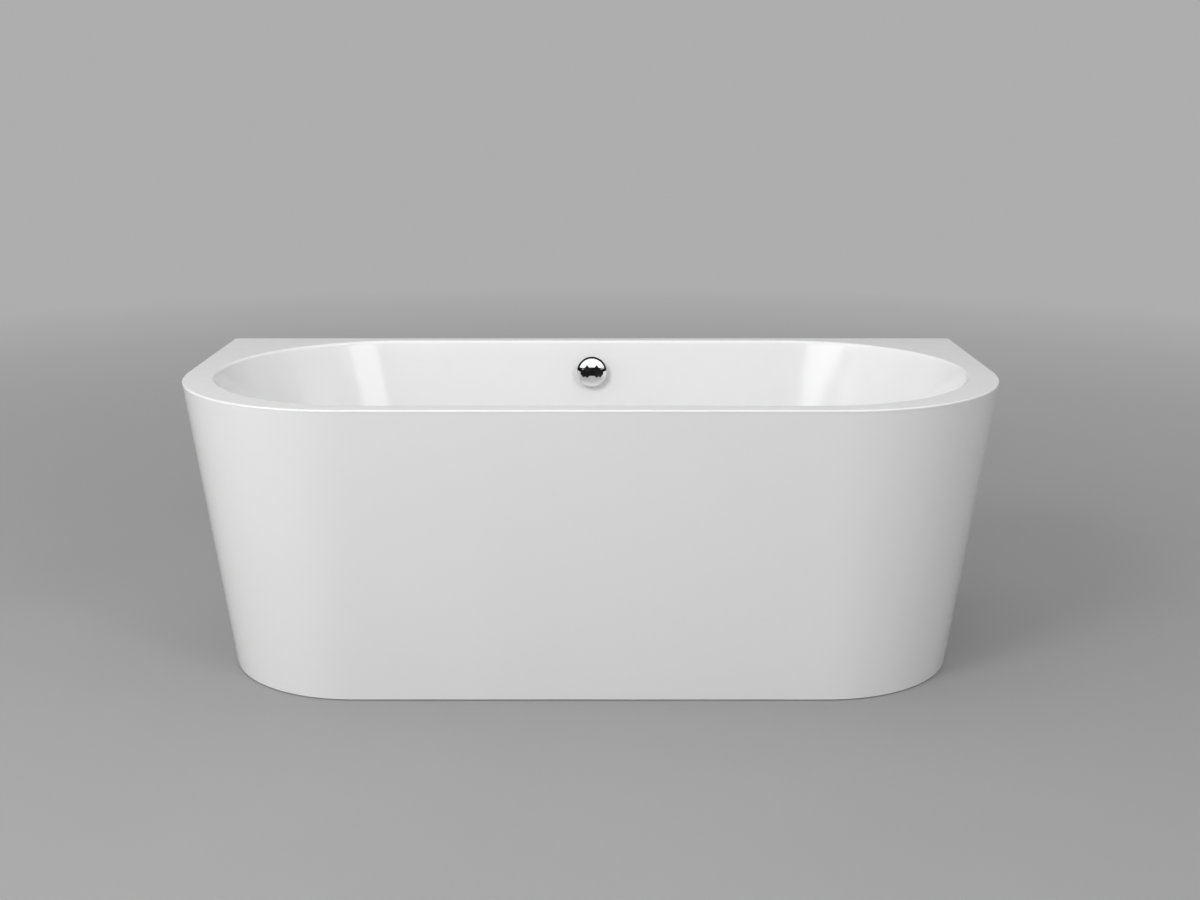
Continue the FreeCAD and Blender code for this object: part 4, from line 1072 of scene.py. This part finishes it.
def grip_nut(bm, inner, outer, low, high, grooves, matrix):
    """A collar with a grip of shallow grooves."""
    chamfer = min(sizes().grip_chamfer, (outer - inner) / 3)
    profile = [(inner, low), (outer - chamfer, low), (outer, low + chamfer)]
    profile += [(outer, high - chamfer), (outer - chamfer, high), (inner, high)]
    steps = GRIP_FACES * grooves
    made = turned(bm, profile, steps, closed=True)
    for vert in made:
        radius = vert.co.xy.length
        corner = round(math.atan2(vert.co.y, vert.co.x) / (4 * QUARTER / steps)) % GRIP_FACES
        on_grip = radius > outer - 1.5 * chamfer
        if on_grip and corner in GROOVE_CORNERS:
            vert.co.xy *= (radius - GROOVE_SHARE * chamfer) / radius
    bmesh.ops.transform(bm, matrix=matrix, verts=made)


def along_y(y, z):
    """A place on the middle plane whose +Z points to the wall."""
    return Matrix.Translation((0, y, z)) @ Matrix.Rotation(-QUARTER, 4, "X")


class BATHTUB_OT_nuts(bpy.types.Operator):
    """Union nuts of trap, outlet and hose"""
    bl_idname = "bathtub.nuts"
    bl_label = "Union nuts"

    def execute(self, context):
        size = sizes()
        low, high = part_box("trap_nut")
        bm = bmesh.new()
        upright = Matrix.Translation((0, basin_y(), 0))
        grip_nut(bm, size.trap_nut_bore, (high.x - low.x) / 2, low.z, high.z, TRAP_GROOVES, upright)
        finished(bm, "trap_grip_nut", "trap_nut")

        low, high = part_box("outlet_nut")
        bm = bmesh.new()
        place = along_y(0, middle(low, high).z)
        grip_nut(bm, size.outlet_nut_bore, (high.x - low.x) / 2, low.y, high.y, OUTLET_GROOVES, place)
        finished(bm, "outlet_grip_nut", "outlet_nut")

        bm = bmesh.new()
        half, bore = size.hose_nut_half, size.hose_radius + size.fit_gap
        lower = along_y(basin_y() + size.waste_radius + size.hose_nut_gap, size.hose_level)
        for place in (lower, hose_route().frame(size.hose_nut_start)):
            grip_nut(bm, bore, size.hose_nut_radius, -half, half, HOSE_GROOVES, place)
        finished(bm, "hose_grip_nuts", "hose_nuts")
        return {"FINISHED"}


def screw(bm, radius, head, thick, length, matrix):
    """A pan-head screw with a star recess; the head's seat is at z 0 and the shank points up."""
    deep = (RECESS_SHARE - 1) * thick
    star = STAR_SHARE * head
    profile = [(0, deep), (STAR_FLOOR_SHARE * star, deep), (star, -thick)]
    profile += [(across * head, -high * thick) for across, high in PAN_SHARES]
    profile += [(radius, 0), (radius, length - radius), (0, length)]
    made = turned(bm, profile, SCREW_STEPS)
    for vert in made:
        in_recess = 0.5 * star < vert.co.xy.length < 1.05 * star and vert.co.z < 0
        if in_recess:
            turn = math.atan2(vert.co.y, vert.co.x)
            vert.co.xy *= 1 - STAR_WAVE_SHARE * (1 - math.cos(STAR_POINTS * turn))
    bmesh.ops.transform(bm, matrix=matrix, verts=made)


def solid_boxes(node):
    """The box of each separate solid of a CAD node, from left to right."""
    bm = bmesh.new()
    bm.from_mesh(frame["nodes"][node].data)
    bmesh.ops.remove_doubles(bm, verts=bm.verts, dist=CAD_TIGHT)
    left = set(bm.verts)
    boxes = []
    while left:
        group = {left.pop()}
        border = list(group)
        while border:
            for link in border.pop().link_edges:
                for vert in link.verts:
                    if vert not in group:
                        group.add(vert)
                        border.append(vert)
        left -= group
        spans = [[vert.co[axis] for vert in group] for axis in range(3)]
        boxes.append((Vector(map(min, spans)), Vector(map(max, spans))))
    bm.free()
    return sorted(boxes, key=lambda box: tuple(round(value, 4) for value in box[0]))


class BATHTUB_OT_screws(bpy.types.Operator):
    """Wood screws with star recesses"""
    bl_idname = "bathtub.screws"
    bl_label = "Wood screws"

    def execute(self, context):
        bm = bmesh.new()
        for low, high in solid_boxes("wood_screws"):
            head = (high.x - low.x) / 2
            thick = head / 2
            place = Matrix.Translation((*middle(low, high).xy, low.z + thick))
            screw(bm, sizes().screw_shank, head, thick, high.z - low.z - thick, place)
        finished(bm, "star_screws", "wood_screws")
        return {"FINISHED"}


class BATHTUB_OT_studs(bpy.types.Operator):
    """The feet's threaded studs"""
    bl_idname = "bathtub.studs"
    bl_label = "Foot studs"

    def execute(self, context):
        for number in FEET:
            low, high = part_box(f"foot_stud_{number}")
            crest = (high.x - low.x) / 2
            root = crest - sizes().thread_depth
            turns = round((high.z - low.z) / sizes().thread_pitch)
            pitch = (high.z - low.z) / turns
            profile = [(0, low.z), (root, low.z)]
            for turn in range(turns):
                for share, radius in ((0.35, crest), (0.5, crest), (0.85, root)):
                    profile.append((radius, low.z + (turn + share) * pitch))
            profile += [(root, high.z), (0, high.z)]
            bm = bmesh.new()
            turned(bm, profile, STUD_STEPS, Matrix.Translation((*middle(low, high).xy, 0)))
            finished(bm, f"threaded_stud_{number}", f"foot_stud_{number}", sharp=30)
        return {"FINISHED"}


# Frame, feet and fittings: the CAD shape with rounded edges

# How wide each node's edges are rounded, in metres
EDGES = {
    "base_board": 0.0008,
    "rim_blocks": 0.001,
    "front_rail": 0.002,
    "rear_rail": 0.002,
    "cross_tubes": 0.002,
    "rear_beam": 0.002,
    "rear_posts": 0.002,
    "post_plates": 0.0006,
    "skirt_brackets": 0.0008,
    "tube_end_caps": 0.001,
    "weld_nuts": 0.0008,
    "waste_body": 0.0008,
    "trap_body": 0.0012,
    "outlet_pipe": 0.0005,
    "lift_lever": 0.0006,
    "lever_pin": 0.0004,
    "cable_drum": 0.0004,
    "knob_spindle": 0.0006,
    "plug_stem": 0.0006,
    "overflow_body": 0.0008,
    "overflow_screws": 0.0005,
    "cable_ferrules": 0.0005,
    "waste_flange": 0.0006,
    "overflow_plate": 0.0005,
    "flange_seal": 0.0003,
    "body_seal": 0.0004,
    "trap_seal": 0.0004,
    "plug_seal": 0.0005,
    "overflow_seal": 0.0004,
}
for number in FEET:
    EDGES[f"foot_pad_{number}"] = 0.001
    EDGES[f"foot_lock_nut_{number}"] = 0.0008
FLAT = math.radians(1)  # faces that meet at less are one face
KEEN = math.radians(40)  # edges that turn by more are rounded


def softened(node, width):
    """A CAD node's shape as a clean solid whose edges are rounded."""
    bm = bmesh.new()
    bm.from_mesh(frame["nodes"][node].data)
    bmesh.ops.remove_doubles(bm, verts=bm.verts, dist=CAD_TIGHT)
    bmesh.ops.dissolve_limit(bm, angle_limit=FLAT, verts=bm.verts, edges=bm.edges)
    piece = finished(bm, f"{node}_piece", node)
    rounding = piece.modifiers.new("edges", "BEVEL")
    rounding.width = width
    rounding.segments = 2
    rounding.limit_method = "ANGLE"
    rounding.angle_limit = KEEN
    rounding.harden_normals = True
    piece.modifiers.move(len(piece.modifiers) - 1, 0)


class BATHTUB_OT_frame_pieces(bpy.types.Operator):
    """Steel frame, plywood, feet and the waste's hidden fittings"""
    bl_idname = "bathtub.frame_pieces"
    bl_label = "Frame and fittings"

    def execute(self, context):
        for node, width in EDGES.items():
            softened(node, width)
        return {"FINISHED"}


class BATHTUB_OT_cad_finish(bpy.types.Operator):
    """Finish for every CAD node"""
    bl_idname = "bathtub.cad_finish"
    bl_label = "Finishes on the frame"

    def execute(self, context):
        for name, item in frame["nodes"].items():
            item.data.materials.clear()
            item.data.materials.append(MATERIALS[SLOT_OF[name]])
        return {"FINISHED"}


class BATHTUB_OT_materials(bpy.types.Operator):
    """Every finish of the bathtub"""
    bl_idname = "bathtub.materials"
    bl_label = "Finishes"

    def execute(self, context):
        make_materials()
        return {"FINISHED"}


# Stage

FLOOR_HALF = 14.0  # metres
FLOOR_SEEN = 0.32  # how pale the floor looks
FLOOR_BOUNCE = 0.125  # how much light it throws back
FLOOR_CLOUD_SHARES = (0.97, 1.03)  # its darkest and palest clouds, as shares of how pale it looks
FADE_START, FADE_END = 1.4, 5.5  # metres from the tub's middle
BACKDROP = 0.42
DEEP_BLACK = 0.005
FAR_SIDE_SHARE = 0.2  # power of the right screen as a share of the left one's
MIRROR_ONLY = ("camera", "diffuse", "transmission", "shadow")
# Softboxes: name, place, height that they point at, width and height, power's setting and its share
SOFTBOXES = (
    ("key", (-1.9, -2.6, 3.0), 0.4, (1.2, 1.6), "key_power", 1.0),
    ("fill", (2.0, -2.8, 2.6), 0.4, (0.9, 1.4), "fill_power", 1.0),
    ("front", (-1.2, -5.2, 1.9), 0.3, (2.6, 1.6), "front_power", 1.0),
    ("low", (-1.2, -5.2, 0.45), 0.3, (2.6, 0.8), "low_power", 1.0),
    ("side", (-4.2, -1.2, 1.2), 0.3, (2.4, 2.2), "side_power", 1.0),
    ("far_side", (4.2, -1.2, 1.2), 0.3, (2.4, 2.2), "side_power", FAR_SIDE_SHARE),
    ("top", (0, 0.2, 3.2), 0.4, (2.6, 1.6), "top_power", 1.0),
)
# Panels mirrored in the basin's end walls: name, the spot that mirrors them, their share of the glow, and
# their corners as directions from that spot
SHEEN_DISTANCE = 20.0
SHEEN_PANELS = (
    ("left_strip", (-0.53, 0.31, 0.53), 1.0, ((14.0, 15.0), (34.5, 15.0), (34.5, 25.0), (14.0, 25.0))),
    ("right_strip", (0.53, 0.31, 0.53), 1.06, (
        (-13.5, 25.0), (-14.0, 18.5), (-16.0, 18.0), (-21.5, 17.0), (-22.0, 15.0),
        (-33.0, 15.0), (-34.0, 19.0), (-41.5, 21.5), (-42.5, 25.0),
    )),
    ("right_streak", (0.59, 0.28, 0.53), 0.4, ((-50.5, 17.0), (-61.5, 17.0), (-61.5, 21.9), (-50.5, 21.9))),
    ("left_glow", (-0.62, 0.25, 0.52), 0.25, ((54.0, 17.0), (84.0, 17.0), (84.0, 20.6), (54.0, 21.6))),
)
# The card that keeps the panels out of the knob: its plane, the step between the points of its ragged foot,
# their heights from the middle outwards, and its top, in metres
CARD_Y = 0.205
CARD_STEP = 0.028
CARD_FOOT = (0.508, 0.477, 0.49, 0.48, 0.46, 0.478, 0.488, 0.492, 0.495, 0.496)
CARD_TOP = 0.604
# What mirrors show, on a sky of radius 1: a dark front under a bright canopy. The canopy's lower edge is a
# bent line with teeth, and its far edge is near the zenith.
HORIZON_GREY = 0.5
OVERHEAD_FROM = 0.6
FRONT_TO = 0.35
FRONT_DARK = 0.008
CANOPY_GLOW = 1.25
CANOPY_EDGE = 0.60
CANOPY_BEND = 0.26
TOOTH_SCALE = 0.35
TOOTH_FROM = 0.6
TOOTH_DEPTH = 0.45
FACING_UP, FACING_FRONT = 0.22, 0.976
FACING_FROM = 0.17


def softbox(name, place, target_height, size, power):
    """A lamp that lights the object and isn't mirrored in it."""
    data = bpy.data.lights.new(name, "AREA")
    data.shape = "RECTANGLE"
    data.size, data.size_y = size
    data.energy = power
    lamp = bpy.data.objects.new(name, data)
    bpy.context.scene.collection.objects.link(lamp)
    lamp.location = place
    aim = Vector((0, 0, target_height)) - Vector(place)
    lamp.rotation_euler = aim.to_track_quat("-Z", "Y").to_euler()
    lamp.visible_glossy = False


def stage_mesh(name, bm, material, hidden_from=()):
    """A mesh with one material, and the kinds of rays that don't see it."""
    piece = placed(bm, name, material)
    for ray in hidden_from:
        setattr(piece, f"visible_{ray}", False)


def flat_mesh(corners):
    """One flat face with an outline of lines."""
    bm = bmesh.new()
    pen = Pen(bm, corners[0])
    for corner in corners[1:]:
        pen.line(corner)
    fill_between(bm, pen.close())
    return bm


def toward(azimuth, elevation):
    """The direction to an azimuth, counted from the front to the right, and an elevation, in degrees."""
    azimuth, elevation = math.radians(azimuth), math.radians(elevation)
    flat = math.cos(elevation)
    return Vector((math.sin(azimuth) * flat, -math.cos(azimuth) * flat, math.sin(elevation)))


def basin_sheen():
    """Bright strips in the basin's end walls, kept out of the knob by a dark card."""
    for name, spot, share, corners in SHEEN_PANELS:
        made = Recipe(name, 0.0, 1.0)
        made.surface("Emission Color", rgba(1.0))
        made.surface("Emission Strength", share * studio().sheen_glow)
        places = [Vector(spot) + toward(*corner) * SHEEN_DISTANCE for corner in corners]
        stage_mesh(name, flat_mesh(places), made.material, MIRROR_ONLY)
    half = CARD_STEP * len(CARD_FOOT)
    right = [(CARD_STEP * step, CARD_Y, height) for step, height in enumerate(CARD_FOOT, 1)]
    left = [(-x, y, height) for x, y, height in reversed(right)]
    foot = (0, CARD_Y, CARD_FOOT[0])
    outline = [foot, *right, (half, CARD_Y, CARD_TOP), (-half, CARD_Y, CARD_TOP), *left]
    stage_mesh("dark_card", flat_mesh(outline), Recipe("dark_card", DEEP_BLACK, 1.0).material, MIRROR_ONLY)


def floor_material():
    """A pale floor that fades into the background, and is clear from below."""
    made = Recipe("studio_floor", FLOOR_SEEN, 0.6)
    rays = made.add("ShaderNodeLightPath").outputs
    seen = made.math("MAXIMUM", rays["Is Camera Ray"], rays["Is Glossy Ray"])
    low, high = (FLOOR_SEEN * share for share in FLOOR_CLOUD_SHARES)
    pale = made.ramp(made.noise(2.0, 3.0), (0.0, low), (1.0, high))
    made.surface("Base Color", made.mix(seen, FLOOR_BOUNCE, pale))
    away = made.add("ShaderNodeVectorMath", operation="LENGTH")
    made.put(away, 0, made.coords)
    far = made.spread(away.outputs["Value"], 0.0, 1.0, low=FADE_START, high=FADE_END)
    backdrop = made.add("ShaderNodeEmission")
    made.put(backdrop, "Color", rgba(BACKDROP))
    faded = made.blend(made.math("MULTIPLY", far, seen), made.shader.outputs[0], backdrop.outputs[0])
    below = made.add("ShaderNodeNewGeometry").outputs["Backfacing"]
    clear = made.add("ShaderNodeBsdfTransparent").outputs[0]
    made.put(made.tree.nodes["Material Output"], "Surface", made.blend(below, faded, clear))
    return made.material


def light_world():
    """A soft surround, and for mirrors a dark front under a bright canopy."""
    world = bpy.data.worlds.new("surround")
    world.use_nodes = True
    bpy.context.scene.world = world
    sky = Nodes(world.node_tree)
    coords = sky.add("ShaderNodeTexCoord").outputs["Generated"]
    split = sky.add("ShaderNodeSeparateXYZ")
    sky.put(split, "Vector", coords)
    across, along, up = (split.outputs[axis] for axis in "XYZ")
    upward = sky.ramp(up, (0.0, HORIZON_GREY), (OVERHEAD_FROM, 1.0))
    surround = sky.mix(studio().world_strength, 0.0, upward)
    wave = sky.bands(coords, "X", TOOTH_SCALE, "TRI")
    tooth = sky.math("MAXIMUM", sky.math("SUBTRACT", wave, TOOTH_FROM))
    bend = sky.math("MULTIPLY", sky.math("MULTIPLY", across, across), CANOPY_BEND)
    edge = sky.math("SUBTRACT", sky.math("ADD", up, bend), sky.math("MULTIPLY", tooth, TOOTH_DEPTH))
    leaning = sky.math("MULTIPLY", up, FACING_UP)
    facing = sky.math("SUBTRACT", leaning, sky.math("MULTIPLY", along, FACING_FRONT))
    above = sky.math("GREATER_THAN", edge, CANOPY_EDGE)
    canopy = sky.math("MULTIPLY", above, sky.math("GREATER_THAN", facing, FACING_FROM))
    front = sky.mix(canopy, FRONT_DARK, CANOPY_GLOW)
    mirrored = sky.mix(sky.math("GREATER_THAN", along, FRONT_TO), front, surround)
    rays = sky.add("ShaderNodeLightPath").outputs
    lit = sky.mix(rays["Is Glossy Ray"], surround, mirrored)
    sky.put(sky.tree.nodes["Background"], "Color", sky.mix(rays["Is Camera Ray"], lit, BACKDROP))


class BATHTUB_OT_stage(bpy.types.Operator):
    """Floor, soft light and the camera"""
    bl_idname = "bathtub.stage"
    bl_label = "Stage"

    def execute(self, context):
        settings = studio()
        bm = bmesh.new()
        bmesh.ops.create_grid(bm, x_segments=4, y_segments=4, size=FLOOR_HALF)
        stage_mesh("studio_floor", bm, floor_material())
        for name, place, target_height, size, power, share in SOFTBOXES:
            softbox(name, place, target_height, size, share * getattr(settings, power))
        basin_sheen()
        light_world()
        data = bpy.data.cameras.new("camera")
        data.lens = settings.lens
        data.sensor_width = settings.sensor
        camera = bpy.data.objects.new("camera", data)
        camera.location = settings.camera_place
        camera.rotation_euler = (QUARTER - settings.camera_pitch, 0, 0)
        context.scene.collection.objects.link(camera)
        context.scene.camera = camera
        context.scene.view_settings.view_transform = "Standard"
        return {"FINISHED"}


class BATHTUB_PT_panel(bpy.types.Panel):
    """Lists the pieces of the bathtub"""
    bl_idname = "BATHTUB_PT_panel"
    bl_label = "Bathtub"
    bl_space_type = "VIEW_3D"
    bl_region_type = "UI"
    bl_category = "Bathtub"

    def draw(self, context):
        for step in STEPS:
            self.layout.operator(step.bl_idname)


STEPS = (
    BATHTUB_OT_materials,
    BATHTUB_OT_stage,
    BATHTUB_OT_cad_finish,
    BATHTUB_OT_tub_shell,
    BATHTUB_OT_skirt,
    BATHTUB_OT_knob,
    BATHTUB_OT_plug,
    BATHTUB_OT_backing,
    BATHTUB_OT_hose,
    BATHTUB_OT_nuts,
    BATHTUB_OT_screws,
    BATHTUB_OT_studs,
    BATHTUB_OT_frame_pieces,
)
CLASSES = (BathtubSizes, BathtubFinish, BathtubStudio, *STEPS, BATHTUB_PT_panel)


def register():
    for item in CLASSES:
        bpy.utils.register_class(item)
    bpy.types.Scene.bathtub_sizes = PointerProperty(type=BathtubSizes)
    bpy.types.Scene.bathtub_finish = PointerProperty(type=BathtubFinish)
    bpy.types.Scene.bathtub_studio = PointerProperty(type=BathtubStudio)


def unregister():
    for name in ("bathtub_studio", "bathtub_finish", "bathtub_sizes"):
        delattr(bpy.types.Scene, name)
    for item in reversed(CLASSES):
        bpy.utils.unregister_class(item)


def main():
    register()
    for step in STEPS:
        group, name = step.bl_idname.split(".")
        getattr(getattr(bpy.ops, group), name)()


if __name__ == "__main__":
    main()
